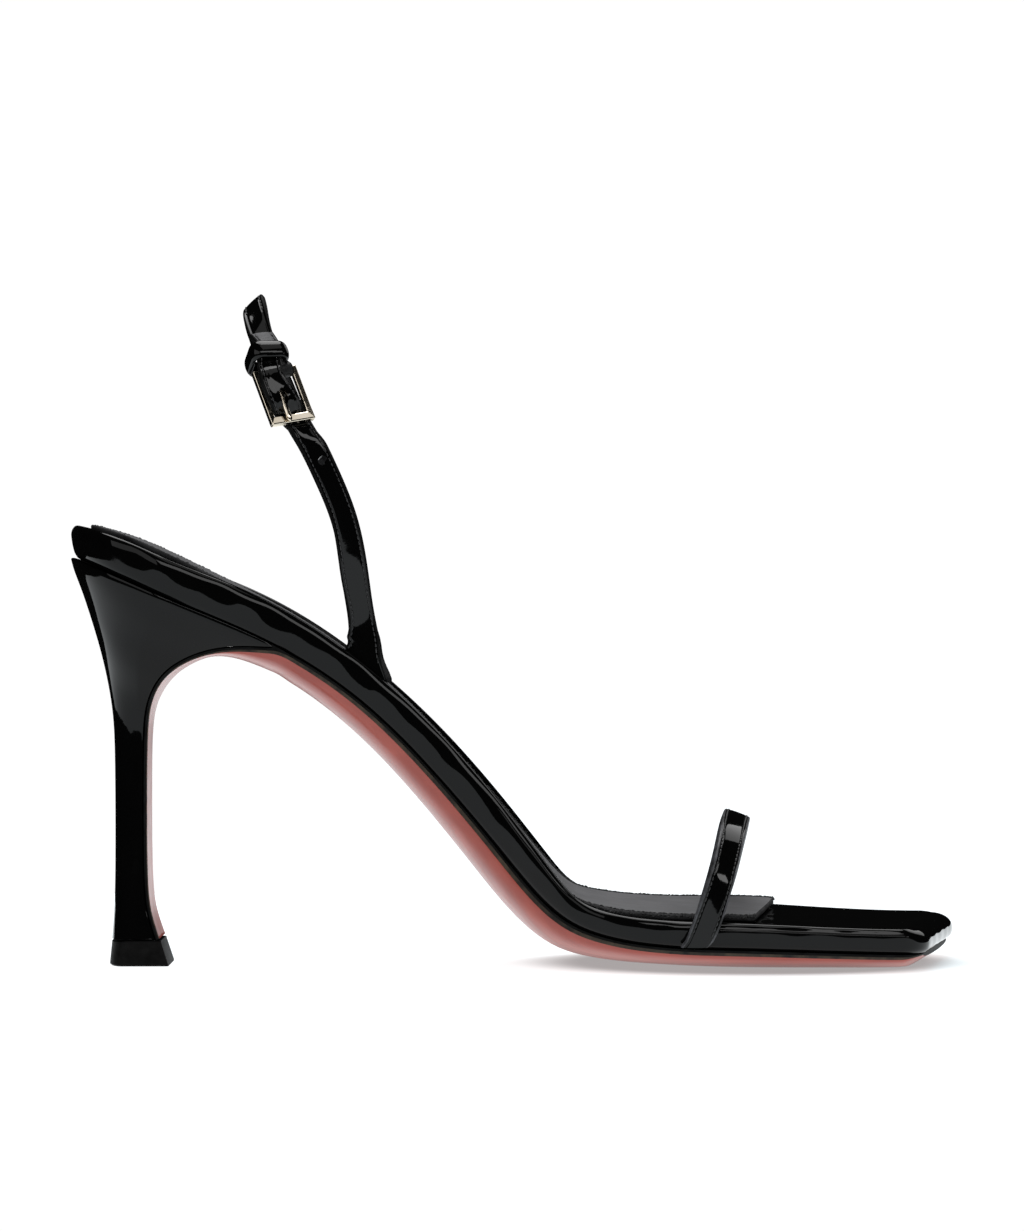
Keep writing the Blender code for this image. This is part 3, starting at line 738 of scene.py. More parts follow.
STATIONS = [
    Station(-104, 24.3, 24.3, 102.9, 95.5, 0.6, 0.0),
    Station(-92, 24.4, 24.4, 99.7, 90.9, 0.6, 0.0),
    Station(-78, 24.4, 24.4, 93.8, 84.9, 0.6, 0.0),
    Station(-64, 23.4, 23.1, 88.2, 79.1, 1.9, 4.3),
    Station(-50, 21.1, 20.6, 81.0, 71.9, 2.5, 5.5),
    Station(-34, 19.4, 18.6, 69.7, 60.5, 2.6, 5.9),
    Station(-18, 19.6, 18.2, 55.1, 44.5, 2.9, 6.3),
    Station(-4, 22.9, 20.8, 39.3, 28.1, 3.3, 6.7),
    Station(8, 29.0, 26.8, 23.9, 14.8, 3.0, 6.8),
    Station(12.5, 31.5, 29.5, 18.6, 11.7, 2.2, 6.7),
    Station(18, 34.0, 32.4, 15.4, 9.5, 1.3, 6.1),
    Station(30, 36.8, 36.0, 13.1, 7.2, 0.6, 5.0),
    Station(50, 36.4, 37.4, 12.1, 6.1, 0.2, 4.8),
    Station(75, 32.9, 35.0, 10.8, 5.1, 0.2, 4.05),
    Station(90, 29.9, 32.5, 10.3, 4.6, 0.2, 3.5),
    Station(104, 26.8, 29.6, 10.4, 4.4, 0.2, 2.8),
]
SECTIONS = [
    Section(-94.2, 6.2, -82.5, 6.2, 8.2, 8.0, 3.2, 0.0),
    Section(-93.9, 10.5, -83.9, 10.5, 7.6, 7.4, 3.4, 0.0),
    Section(-93.6, 17.0, -85.1, 17.0, 7.1, 6.9, 4.0, 0.0),
    Section(-93.5, 30.0, -85.5, 30.0, 6.9, 6.7, 5.4, 0.0),
    Section(-93.6, 46.0, -85.5, 45.0, 6.85, 6.65, 6.3, 0.0),
    Section(-94.0, 57.0, -85.3, 54.0, 6.85, 6.65, 6.6, 0.0),
    Section(-95.2, 65.5, -84.4, 60.5, 8.6, 8.2, 7.8, 0.0),
    Section(-97.0, 73.5, -81.6, 66.0, 13.4, 12.0, 10.0, 0.0),
    Section(-99.2, 81.0, -76.9, 69.9, 17.0, 14.8, 13.5, 0.2),
    Section(-101.3, 87.3, -70.5, 72.4, 20.3, 17.4, 17.5, 0.6),
    Section(-103.0, 91.8, -63.4, 73.3, 22.4, 19.4, 21.0, 2.4),
    Section(-103.8, 94.6, -55.8, 73.1, 23.8, 20.7, 24.0, 5.1),
]


@dataclass
class LastShape:
    """The last that the sandal is made on: plan of its footbed, and heights along it."""

    heel_back: float = -103.7
    heel_round: float = 24.0
    back_angle: float = math.radians(22)
    toe_middle: float = 100.3
    toe_slant: float = 0.226
    toe_radius: float = 9.0
    skew_start: float = 28.0
    heel_rows: int = 20
    waist_rows: int = 84
    ball_rows: int = 40
    corner_rows: int = 14
    columns: int = 22
    halvings: int = 40

    def __post_init__(self) -> None:
        """Draws the curves through the stations."""
        columns = curves_of(STATIONS, [row.x for row in STATIONS])
        self.half = {Side.OUTER: columns[1], Side.INNER: columns[2]}
        self.rim, self.base, self.dish, self.belly = columns[3:]

    def heel_edge(self, side: Side, angle: float) -> Edge:
        """A point of the round heel seat.

        Args:
            side: side of the foot.
            angle: 0 at the back, a right angle at the side.

        Returns:
            The outline point.
        """
        half = self.half[side](self.heel_back + self.heel_round)
        x = self.heel_back + self.heel_round * (1 - math.cos(angle))
        y = side.value * half * math.sin(angle)
        return edge_at(x, y, math.cos(angle) / self.heel_round, -side.value * math.sin(angle) / half)

    def side_edge(self, side: Side, x: float) -> Edge:
        """A point of a side of the outline."""
        return edge_at(x, side.value * self.half[side](x), self.half[side].slope(x), -side.value)

    def toe_corner(self, side: Side) -> tuple[float, Edge]:
        """Where a side meets the round corner of the toe.

        Args:
            side: side of the foot.

        Returns:
            The place along the side, and the corner's centre.
        """
        low = self.skew_start
        high = STATIONS[-1].x
        centre = self.side_edge(side, low)
        for _ in range(self.halvings):
            middle = (low + high) / 2
            centre = self.side_edge(side, middle).moved_in(self.toe_radius)
            front = self.toe_middle + self.toe_slant * centre.y
            if (front - centre.x) / math.hypot(1, self.toe_slant) > self.toe_radius:
                low = middle
            else:
                high = middle
        return low, centre

    def corner_edges(self, side: Side) -> list[Edge]:
        """The round corner of the toe.

        Args:
            side: side of the foot.

        Returns:
            Its outline points, after the last point of the side.
        """
        start, centre = self.toe_corner(side)
        first = self.side_edge(side, start)
        turn_from = math.atan2(-first.ny, -first.nx)
        turn_to = math.atan2(-self.toe_slant, 1)
        edges = []
        for i in range(1, self.corner_rows + 1):
            angle = turn_from + (turn_to - turn_from) * i / self.corner_rows
            facing = Edge(centre.x, centre.y, -math.cos(angle), -math.sin(angle))
            edges.append(facing.moved_in(-self.toe_radius))
        return edges

    def side_edges(self, side: Side, x_end: float) -> list[Edge]:
        """A side of the outline, from the heel to a place along it.

        Args:
            side: side of the foot.
            x_end: where it ends.

        Returns:
            The outline points.
        """
        angles = np.linspace(self.back_angle, math.pi / 2, self.heel_rows, endpoint=False)
        x_start = self.heel_back + self.heel_round
        waist = np.linspace(x_start, self.skew_start, self.waist_rows, endpoint=False)
        ball = np.linspace(self.skew_start, x_end, self.ball_rows)
        edges = [self.heel_edge(side, float(angle)) for angle in angles]
        return edges + [self.side_edge(side, float(x)) for x in (*waist, *ball)]

    def back_edges(self) -> list[Edge]:
        """The rearmost part of the outline."""
        angles = [self.back_angle * (2 * i / self.columns - 1) for i in range(self.columns + 1)]
        return [self.heel_edge(Side.OUTER if angle < 0 else Side.INNER, abs(angle)) for angle in angles]

    def front_edges(self, first: Edge, last: Edge) -> list[Edge]:
        """A straight front edge between the ends of the two sides.

        Args:
            first: end of the outer side.
            last: end of the inner side.

        Returns:
            The outline points, pointing back.
        """
        edges = []
        for i in range(self.columns + 1):
            share = i / self.columns
            x = first.x + (last.x - first.x) * share
            y = first.y + (last.y - first.y) * share
            edges.append(edge_at(x, y, first.y - last.y, last.x - first.x))
        return edges

    def footbed_plan(self) -> Plan:
        """Outline of the footbed."""
        sides = [self.side_edges(side, self.toe_corner(side)[0]) + self.corner_edges(side) for side in Side]
        return Plan(*sides, self.back_edges(), self.front_edges(sides[0][-1], sides[1][-1]))

    def inset_plan(self, inset: float, front: float, slant: float, corner: float) -> Plan:
        """Outline of a plate that stops short of the rim and of the toe.

        Args:
            inset: distance in from the footbed's outline.
            front: where its front edge crosses the middle.
            slant: how far that edge runs forward for each mm towards the inner side.
            corner: radius of its two front corners.

        Returns:
            The outline.
        """
        sides = []
        for side in Side:
            x_end = front + slant * side.value * (self.half[side](front) - inset)
            edges = []
            for edge in self.side_edges(side, x_end):
                past = max(edge.x - x_end + corner, 0.0) / corner
                edges.append(edge.moved_in(inset + corner * (1 - math.sqrt(1 - past * past))))
            sides.append(edges)
        back = [edge.moved_in(inset) for edge in self.back_edges()]
        return Plan(*sides, back, self.front_edges(sides[0][-1], sides[1][-1]))


def plate(
    plan: Plan,
    steps: int,
    inset: Callable[[int, Edge, float], float],
    height: Callable[[int, float, float], float],
    columns: int,
    edge_slot: int = 0,
) -> Skin:
    """A closed plate inside a plan outline.

    Args:
        plan: its outline.
        steps: steps of its edge, from the underside round to the top.
        inset: distance in at a step, for a point of the outline and the length along it.
        height: z at a step, for a place x, y.
        columns: columns across the underside and the top.
        edge_slot: material index of its edge.

    Returns:
        The plate.
    """
    skin = Skin()
    ring = plan.ring()
    gone = np.cumsum([0.0] + [math.hypot(b.x - a.x, b.y - a.y) for a, b in zip(ring, ring[1:])])
    last = len(plan.outer) - 1
    loops = []
    for step in range(steps):
        points = [edge.moved_in(inset(step, edge, length)) for edge, length in zip(ring, gone)]
        loops.append(skin.add([(p.x, p.y, height(step, p.x, p.y)) for p in points]))
    for one, two in zip(loops, loops[1:]):
        skin.bridge(one, two, [edge_slot] * len(one))
    for step in (0, steps - 1):
        loop = loops[step]
        front = loop[last : last + columns + 1]
        inner = loop[last + columns : 2 * last + columns + 1][::-1]
        rows = [[loop[0]] + loop[2 * last + columns + 1 :][::-1] + [inner[0]]]
        for start, end in zip(loop[1:last], inner[1:last]):
            between = [skin.points[start].lerp(skin.points[end], i / columns) for i in range(1, columns)]
            rows.append([start] + skin.add([(p.x, p.y, height(step, p.x, p.y)) for p in between]) + [end])
        skin.patch(rows + [front])
    return skin


class WallRow(NamedTuple):
    """A step of the footbed's wall: distance in from the plan, share of its height, share of the dish."""

    inset: float
    rise: float
    dish: float


@dataclass
class Footbed:
    """Insole board wrapped in patent leather, its rolled edge turned over the top cover."""

    last: LastShape
    wall: tuple[WallRow, ...] = (
        WallRow(4.6, 0.0, 0.0), WallRow(2.0, 0.0, 0.0), WallRow(1.3, 0.035, 0.0),
        WallRow(0.8, 0.12, 0.0), WallRow(0.42, 0.26, 0.0), WallRow(0.16, 0.42, 0.0),
        WallRow(0.02, 0.56, 0.0), WallRow(0.0, 0.66, 0.0), WallRow(0.12, 0.77, 0.0),
        WallRow(0.38, 0.87, 0.0), WallRow(0.8, 0.95, 0.0), WallRow(1.3, 0.988, 0.0),
        WallRow(2.0, 1.0, 0.0), WallRow(2.6, 1.0, 0.2), WallRow(3.4, 1.0, 0.75), WallRow(4.2, 1.0, 1.0),
    )
    steps: int = 64
    wave_depth: float = 0.1
    wave_lengths: Span = (17.0, 10.3)
    belly_sway: float = 0.45
    front_turn: Span = (0.1, 0.9)
    front_roll: float = 3.84
    front_start: float = 0.1
    front_calm: float = 0.7
    ledge: float = 0.34
    ledge_along: Span = (40.0, 50.0)
    ledge_turn: Span = (0.05, 0.4)
    ledge_in: Span = (0.72, 0.77)
    ledge_out: Span = (0.82, 0.98)

    def __post_init__(self) -> None:
        """Draws the curves of the wall."""
        self.insets, self.rises, self.dishes = curves_of(self.wall, range(len(self.wall)))
        self.keys = np.linspace(0, len(self.wall) - 1, self.steps)

    def inset(self, step: int, edge: Edge, length: float) -> float:
        """How far in a step lies: the wall's profile, slow waves, round front and ledge by the toes.

        Args:
            step: step of the wall.
            edge: point of the plan.
            length: length along the plan.

        Returns:
            The distance in from the plan.
        """
        key = self.keys[step]
        rise = min(max(self.rises(key), 0.0), 1.0)
        front = ease(-edge.nx, *self.front_turn)
        swing = sum(math.sin(2 * math.pi * length / size + i) for i, size in enumerate(self.wave_lengths))
        bulge = math.sin(math.pi * rise)
        wave = self.wave_depth * swing * bulge * (1 - self.front_calm * front)
        sway = self.belly_sway * swing * bulge**2 * (1 - front)
        up = max(rise - self.front_start, 0.0) / (1 - self.front_start)
        roll = self.front_roll * front * (1 - math.sqrt(1 - up * up))
        beside_toes = ease(edge.x, *self.ledge_along) * (1 - ease(-edge.nx, *self.ledge_turn))
        step_in = ease(rise, *self.ledge_in) - ease(rise, *self.ledge_out)
        return self.insets(key + sway) + wave + roll + self.ledge * beside_toes * step_in

    def height(self, step: int, x: float, y: float) -> float:
        """Height of a step.

        Args:
            step: step of the wall.
            x: place along the shoe.
            y: place across it, which makes no difference.

        Returns:
            The height.
        """
        key = self.keys[step]
        base = self.last.base(x)
        return base + self.rises(key) * (self.last.rim(x) - base) - self.dishes(key) * self.last.dish(x)

    def build(self, wardrobe: Wardrobe) -> list[Piece]:
        """Makes the wrapped footbed.

        Args:
            wardrobe: the finishes.

        Returns:
            The piece.
        """
        skin = plate(self.last.footbed_plan(), self.steps, self.inset, self.height, self.last.columns)
        return [hand_over(skin.piece("footbed_wrap", wardrobe.patent), "patent_leather", "footbed")]


@dataclass
class Sock:
    """Leather lining glued on the footbed, whose inner front corner has come up a little."""

    last: LastShape
    inset: float = 4.5
    thick: float = 1.3
    front: float = 59.2
    slant: float = 0.12
    corner: float = 3.2
    edge_steps: int = 7
    edge_round: float = 0.45
    curl: float = 0.3
    curl_along: Span = (36.0, 60.0)
    curl_share: float = 0.45
    swell: float = 0.12
    swell_length: float = 9.0

    def lift(self, x: float, y: float) -> float:
        """How far the sock stands off the footbed.

        Args:
            x: place along the shoe.
            y: place across it.

        Returns:
            The lift in millimetres.
        """
        half = self.last.half[Side.INNER](x) - self.inset
        curl = self.curl * ease(x, *self.curl_along) * ease(y, half * self.curl_share, half)
        return curl + self.swell * math.sin(x / self.swell_length) * ease(y, 0, half)

    def top(self, x: float, y: float) -> float:
        """Height of the sock's upper face."""
        return self.last.rim(x) - self.last.dish(x) + GAP + self.thick + self.lift(x, y)

    def plan(self) -> Plan:
        """Outline of the sock."""
        return self.last.inset_plan(self.inset, self.front, self.slant, self.corner)

    def edge_angle(self, step: int) -> float:
        """Angle of a step round the sock's edge."""
        return math.pi * (step / (self.edge_steps - 1) - 0.5)

    def edge_inset(self, step: int, edge: Edge, length: float) -> float:
        """How far in a step of the round edge lies."""
        return self.edge_round * (1 - math.cos(self.edge_angle(step)))

    def edge_height(self, step: int, x: float, y: float) -> float:
        """Height of a step of the round edge."""
        return self.top(x, y) - self.thick * (1 - math.sin(self.edge_angle(step))) / 2

    def build(self, wardrobe: Wardrobe) -> list[Piece]:
        """Makes the sock.

        Args:
            wardrobe: the finishes.

        Returns:
            The piece.
        """
        edge = (self.edge_steps, self.edge_inset, self.edge_height)
        skin = plate(self.plan(), *edge, self.last.columns, edge_slot=1)
        piece = skin.piece("sock_lining", wardrobe.sock, wardrobe.sock_edge)
        return [hand_over(piece, "sock_leather", "sock")]

    def sewn_line(self, inset: float, lift: float) -> Line:
        """A line along the sock's two sides and round its heel, but not along its front.

        Args:
            inset: distance in from the edge.
            lift: height above the upper face.

        Returns:
            The line, from the toe end of the outer side to that of the inner side.
        """
        plan = self.plan()
        edges = plan.outer[::-1] + plan.back[1:-1] + plan.inner
        inside = [edge.moved_in(inset) for edge in edges]
        return [Vector((p.x, p.y, self.top(p.x, p.y) + lift)) for p in inside]


class HeelCut(NamedTuple):
    """A smoothed heel section and the way that its breast faces, in x and z."""

    section: Section
    out_x: float
    out_z: float

    def behind_breast(self, depth: float) -> Span:
        """A point behind the sole's face: its x and z, no lower than the foot of the heel."""
        x = self.section.breast_x - self.out_x * depth
        return x, max(self.section.breast_z - self.out_z * depth, SECTIONS[0].back_z)


def heel_cuts(count: int) -> list[HeelCut]:
    """Heel sections at even steps, from the top piece to the seat.

    Args:
        count: how many.

    Returns:
        The sections.
    """
    near = 0.1
    last = len(SECTIONS) - 1
    columns = curves_of(SECTIONS, range(last + 1))
    breast = columns[2:4]
    cuts = []
    for key in np.linspace(0, last, count):
        before = max(key - near, 0)
        after = min(key + near, last)
        up = Vector([curve(after) - curve(before) for curve in breast]).normalized()
        cuts.append(HeelCut(Section(*(column(key) for column in columns)), up.y, -up.x))
    return cuts


@dataclass
class Heel:
    """Moulded heel block wrapped in patent leather, with its wearing tip."""

    last: LastShape
    layers: int = 120
    back_points: int = 20
    side_points: int = 14
    turn_points: int = 6
    turn: float = 0.4
    seat_turn: float = 0.04
    seat_from: Span = (0.5, 0.8)
    seat_steps: tuple[Span, ...] = ((0.0, 0.55), (0.12, 0.2), (0.55, 0.0))
    sole_edge: float = 0.8
    tip_low: Section = Section(-94.7, 0.0, -80.5, 0.0, 8.8, 8.6, 3.1, 0.0)
    tip_high: Section = Section(-94.2, 5.9, -82.2, 5.9, 8.2, 8.0, 3.2, 0.0)
    tip_round: float = 0.35

    def outline(self, section: Section, front: Span, turn: float, shrink: float = 0.0) -> Line:
        """One closed section: from the outer front round the back to the inner front.

        Args:
            section: sizes of the section.
            front: x and z of its front.
            turn: radius of its two front edges.
            shrink: how far it is drawn in.

        Returns:
            Its points.
        """
        length = front[0] - section.back_x
        straight = length - section.round
        rows = []
        for i in range(self.back_points):
            angle = math.pi / 2 * i / self.back_points
            rows.append((section.round * (1 - math.cos(angle)), section.half * math.sin(angle)))
        run = straight - turn
        sides = [(section.round + run * i / self.side_points, 0.0) for i in range(self.side_points)]
        for i in range(self.turn_points + 1):
            angle = math.pi / 2 * i / self.turn_points
            sides.append((length - turn * (1 - math.sin(angle)), turn * (1 - math.cos(angle))))
        for along, inset in sides:
            share = (along - section.round) / straight
            rows.append((along, section.half + (section.breast_half - section.half) * share - inset))
        inner = []
        for i, (along, half) in enumerate(rows):
            share = along / length
            x = section.back_x + shrink + (length - shrink) * share
            z = section.back_z + (front[1] - section.back_z) * share
            inner.append(Vector((x, max(half - shrink, 0.0) if i else 0.0, z)))
        return [Vector((p.x, -p.y, p.z)) for p in inner[:0:-1]] + inner

    def cover(self, wardrobe: Wardrobe) -> Piece:
        """Makes the wrapped block.

        Args:
            wardrobe: the finishes.

        Returns:
            The piece.
        """
        depth = self.sole_edge + GAP
        cuts = heel_cuts(self.layers)
        loops = []
        for i, cut in enumerate(cuts[:-1]):
            turn = self.turn + (self.seat_turn - self.turn) * ease(i / self.layers, *self.seat_from)
            loops.append(self.outline(cut.section, cut.behind_breast(depth), turn))
        for shrink, sink in self.seat_steps:
            seat = self.outline(cuts[-1].section, cuts[-1].behind_breast(depth), self.seat_turn, shrink)
            loops.append([Vector((p.x, p.y, self.last.base(p.x) - GAP - sink)) for p in seat])
        skin = Skin()
        skin.loft(loops)
        # The seat is curved, so strips across it take the place of its one end face.
        skin.faces.pop()
        skin.slots.pop()
        count = len(loops[-1])
        first = (len(loops) - 1) * count
        for i in range(count // 2):
            near = first + i
            far = first + count - 1 - i
            skin.face(tuple(dict.fromkeys((near, near + 1, far - 1, far))))
        return hand_over(skin.piece("heel_cover", wardrobe.patent), "patent_leather", "heel")

    def tip(self, wardrobe: Wardrobe) -> Piece:
        """Makes the top piece.

        Args:
            wardrobe: the finishes.

        Returns:
            The piece.
        """
        loops = []
        for section, sink, shrink in (
            (self.tip_low, 0.0, self.tip_round),
            (self.tip_low, self.tip_round, 0.0),
            (self.tip_high, -self.tip_round, 0.0),
            (self.tip_high, 0.0, self.tip_round),
        ):
            loop = self.outline(section, (section.breast_x, section.breast_z), self.turn, shrink)
            loops.append([p + Vector((0, 0, sink)) for p in loop])
        skin = Skin()
        skin.loft(loops)
        return hand_over(skin.piece("heel_tip", wardrobe.rubber), "tip_rubber", "top_piece")

    def build(self, wardrobe: Wardrobe) -> list[Piece]:
        """The wrapped block and its tip."""
        return [self.cover(wardrobe), self.tip(wardrobe)]


@dataclass
class Outsole:
    """Red sole leather, domed under the waist and run on down the heel breast, with a black inked edge."""

    last: LastShape
    inset: float = 1.2
    edge: float = 0.8
    power: float = 2.2
    join: float = 6.0
    joint_rows: int = 8
    breast_rows: int = 110
    half_columns: int = 22
    inked: float = 0.55
    ridge: float = 0.25
    raw_band: float = 0.003
    toe_share: float = 0.2
    toe_taper: float = 8.5
    toe_inset: float = 0.7
    toe_turn: Span = (0.3, 0.95)

    def shares(self) -> list[float]:
        """Places across the sole, closer together near its edges.

        Returns:
            The places, from -1 at the outer edge to 1 at the inner edge.
        """
        half = [math.sin(math.pi / 2 * i / self.half_columns) for i in range(self.half_columns)]
        half += [1 - self.raw_band, 1.0]
        return [-share for share in half[:0:-1]] + half

    def section(self, tops: Sequence[Vector], down: Vector, belly: float, floor: float) -> Line:
        """A section between two points of the upper edge.

        Args:
            tops: upper edge on the outer and on the inner side.
            down: way that the sole faces.
            belly: depth of the dome.
            floor: lowest height.

        Returns:
            Its points: three along the top, then down the outer edge, across the underside and up.
        """
        outer, inner = tops
        under = []
        for share in self.shares():
            dome = max(1 - abs(share) ** self.power, 0.0) ** (1 / self.power)
            point = outer.lerp(inner, (share + 1) / 2) + down * (self.edge + belly * dome)
            under.append(Vector((point.x, point.y, max(point.z, floor))))
        ink = [top + down * self.inked for top in tops]
        ridge = outer.lerp(inner, 0.5) - down * self.ridge
        return [inner, ridge, outer, ink[0]] + under + [ink[1]]

    def joint(self, waist: Sequence[Line], breast: Sequence[Line]) -> list[Line]:
        """Sections that run smoothly from the waist into the heel breast.

        Args:
            waist: the last two sections of the waist.
            breast: the first two sections of the breast.

        Returns:
            The sections between them.
        """
        loops = []
        for i in range(1, self.joint_rows + 1):
            t = i / (self.joint_rows + 1)
            loop = []
            for a, b, c, d in zip(*waist, *breast):
                reach = (c - b).length
                leave = (b - a).normalized() * reach
                arrive = (d - c).normalized() * reach
                point = b * (2 * t**3 - 3 * t**2 + 1) + c * (3 * t**2 - 2 * t**3)
                loop.append(point + leave * (t**3 - 2 * t**2 + t) + arrive * (t**3 - t**2))
            for top in range(3):
                loop[top] = waist[1][top].lerp(breast[0][top], t)
            loops.append(loop)
        return loops

    def waist(self) -> list[Line]:
        """Sections from the toe to where the sole leaves the footbed.

        Returns:
            The sections.
        """
        plan = self.last.footbed_plan()
        loops = []
        for pair in zip(reversed(plan.outer), reversed(plan.inner)):
            drawn = [self.inset + self.toe_inset * ease(-edge.nx, *self.toe_turn) for edge in pair]
            ends = [edge.moved_in(inset) for edge, inset in zip(pair, drawn)]
            middle = (ends[0].x + ends[1].x) / 2
            if middle < SECTIONS[-1].breast_x + self.join:
                break
            tops = [Vector((end.x, end.y, self.last.base(end.x) - GAP)) for end in ends]
            down = Vector((self.last.base.slope(middle), 0, -1)).normalized()
            front = self.last.toe_middle + self.last.toe_slant * (ends[0].y + ends[1].y) / 2
            thin = self.toe_share + (1 - self.toe_share) * ease(front - middle, 0.0, self.toe_taper)
            loops.append(self.section(tops, down * thin, self.last.belly(middle), 0.0))
        return loops

    def breast(self) -> list[Line]:
        """Sections down the heel breast, to the top piece.

        Returns:
            The sections.
        """
        loops = []
        for cut in reversed(heel_cuts(self.breast_rows)):
            x, z = cut.behind_breast(self.edge)
            tops = [Vector((x, side.value * cut.section.breast_half, z)) for side in Side]
            down = Vector((cut.out_x, 0, cut.out_z))
            loops.append(self.section(tops, down, cut.section.belly, SECTIONS[0].back_z))
        return loops

    def build(self, wardrobe: Wardrobe) -> list[Piece]:
        """Makes the sole.

        Args:
            wardrobe: the finishes.

        Returns:
            The piece.
        """
        waist = self.waist()
        breast = self.breast()
        seat = [Vector((p.x, p.y, self.last.base(p.x) - GAP)) for p in breast[0][:3]] + breast[0][3:]
        loops = waist + self.joint(waist[-2:], [seat, breast[1]]) + [seat] + breast
        ink = SoleFace.INK.value
        raw = [SoleFace.RAW.value] * 2
        red = [SoleFace.LACQUER.value] * (len(self.shares()) - 3)
        skin = Skin()
        skin.loft(loops, [ink] * 3 + raw + red + raw + [ink], ink)
        piece = skin.piece("outsole_leather", wardrobe.sole, wardrobe.ink, wardrobe.raw_edge)
        return [hand_over(piece, "sole_leather", "outsole")]


@dataclass
class StrapLine:
    """A strap's middle line, with the way its width runs, its width and its thickness at each step."""

    points: Line
    wide: Line
    widths: list[float]
    thicknesses: list[float]

    def along(self, i: int) -> Vector:
        """Direction of the strap at a step."""
        return (self.points[min(i + 1, len(self.points) - 1)] - self.points[max(i - 1, 0)]).normalized()

    def at(self, i: int, across: float, lift: float) -> Vector:
        """A point of the strap.

        Args:
            i: step along the strap.
            across: distance from the middle line.
            lift: distance from its middle layer, away from the foot.

        Returns:
            The point.
        """
        wide = self.wide[i].normalized()
        return self.points[i] + wide * across + wide.cross(self.along(i)).normalized() * lift

    def edge_lines(self, inset: float, first: int, end: int) -> list[Line]:
        """Lines along the two edges of the outer face.

        Args:
            inset: distance in from the edge.
            first: first step.
            end: step after the last one.

        Returns:
            The two lines.
        """
        left = []
        right = []
        for i in range(len(self.points))[first:end]:
            across = self.widths[i] / 2 - inset
            left.append(self.at(i, -across, self.thicknesses[i] / 2))
            right.append(self.at(i, across, self.thicknesses[i] / 2))
        return [left, right]


@dataclass(frozen=True)
class StrapSection:
    """Section of a lined strap: a domed face with a dip along each row of stitches, and round edges."""

    edge_round: float = 0.5
    edge_share: float = 0.42
    dome: float = 0.14
    dip: float = 0.13
    dip_inset: float = 0.95
    dip_width: float = 0.24
    face_points: int = 34
    turn_points: int = 5

    def loop(self, width: float, thick: float) -> list[Span]:
        """Points of the section.

        Args:
            width: width of the strap.
            thick: thickness of the strap.

        Returns:
            Place across and lift of each point.
        """
        half = width / 2
        top = thick / 2
        radius = min(self.edge_round, thick * self.edge_share)
        flat = half - radius
        points = []
        for i in range(self.face_points + 1):
            across = flat * (2 * i / self.face_points - 1)
            from_stitch = (half - abs(across) - self.dip_inset) / self.dip_width
            face = self.dome * (1 - (across / flat) ** 2) - self.dip * math.exp(-(from_stitch**2))
            points.append((across, top + face))
        right = []
        for i in range(1, self.turn_points + 1):
            angle = math.pi / 2 * (1 - i / self.turn_points)
            right.append((flat + radius * math.cos(angle), top - radius + radius * math.sin(angle)))
        right += [(across, -lift) for across, lift in reversed(right)]
        points += right + [(flat, -top), (0.0, -top), (-flat, -top)]
        return points + [(-across, lift) for across, lift in reversed(right)]

    def slots(self) -> list[int]:
        """Material index of each step round the section."""
        edge = [Face.EDGE.value] * (2 * self.turn_points + 1)
        return [Face.GLOSS.value] * self.face_points + edge + [Face.LINING.value] * 2 + edge

    def skin(self, line: StrapLine, tail: int = 0) -> Skin:
        """The strap along its line.

        Args:
            line: middle line of the strap.
            tail: steps at its end that have another finish.

        Returns:
            The closed strap.
        """
        loops = []
        for i in range(len(line.points)):
            section = self.loop(line.widths[i], line.thicknesses[i])
            loops.append([line.at(i, across, lift) for across, lift in section])
        skin = Skin()
        skin.loft(loops, self.slots(), Face.EDGE.value)
        first = len(skin.faces) - 2 - tail * len(loops[0])
        for i in range(first, len(skin.faces)):
            if tail and skin.slots[i] == Face.GLOSS.value:
                skin.slots[i] = Face.TAIL.value
        return skin


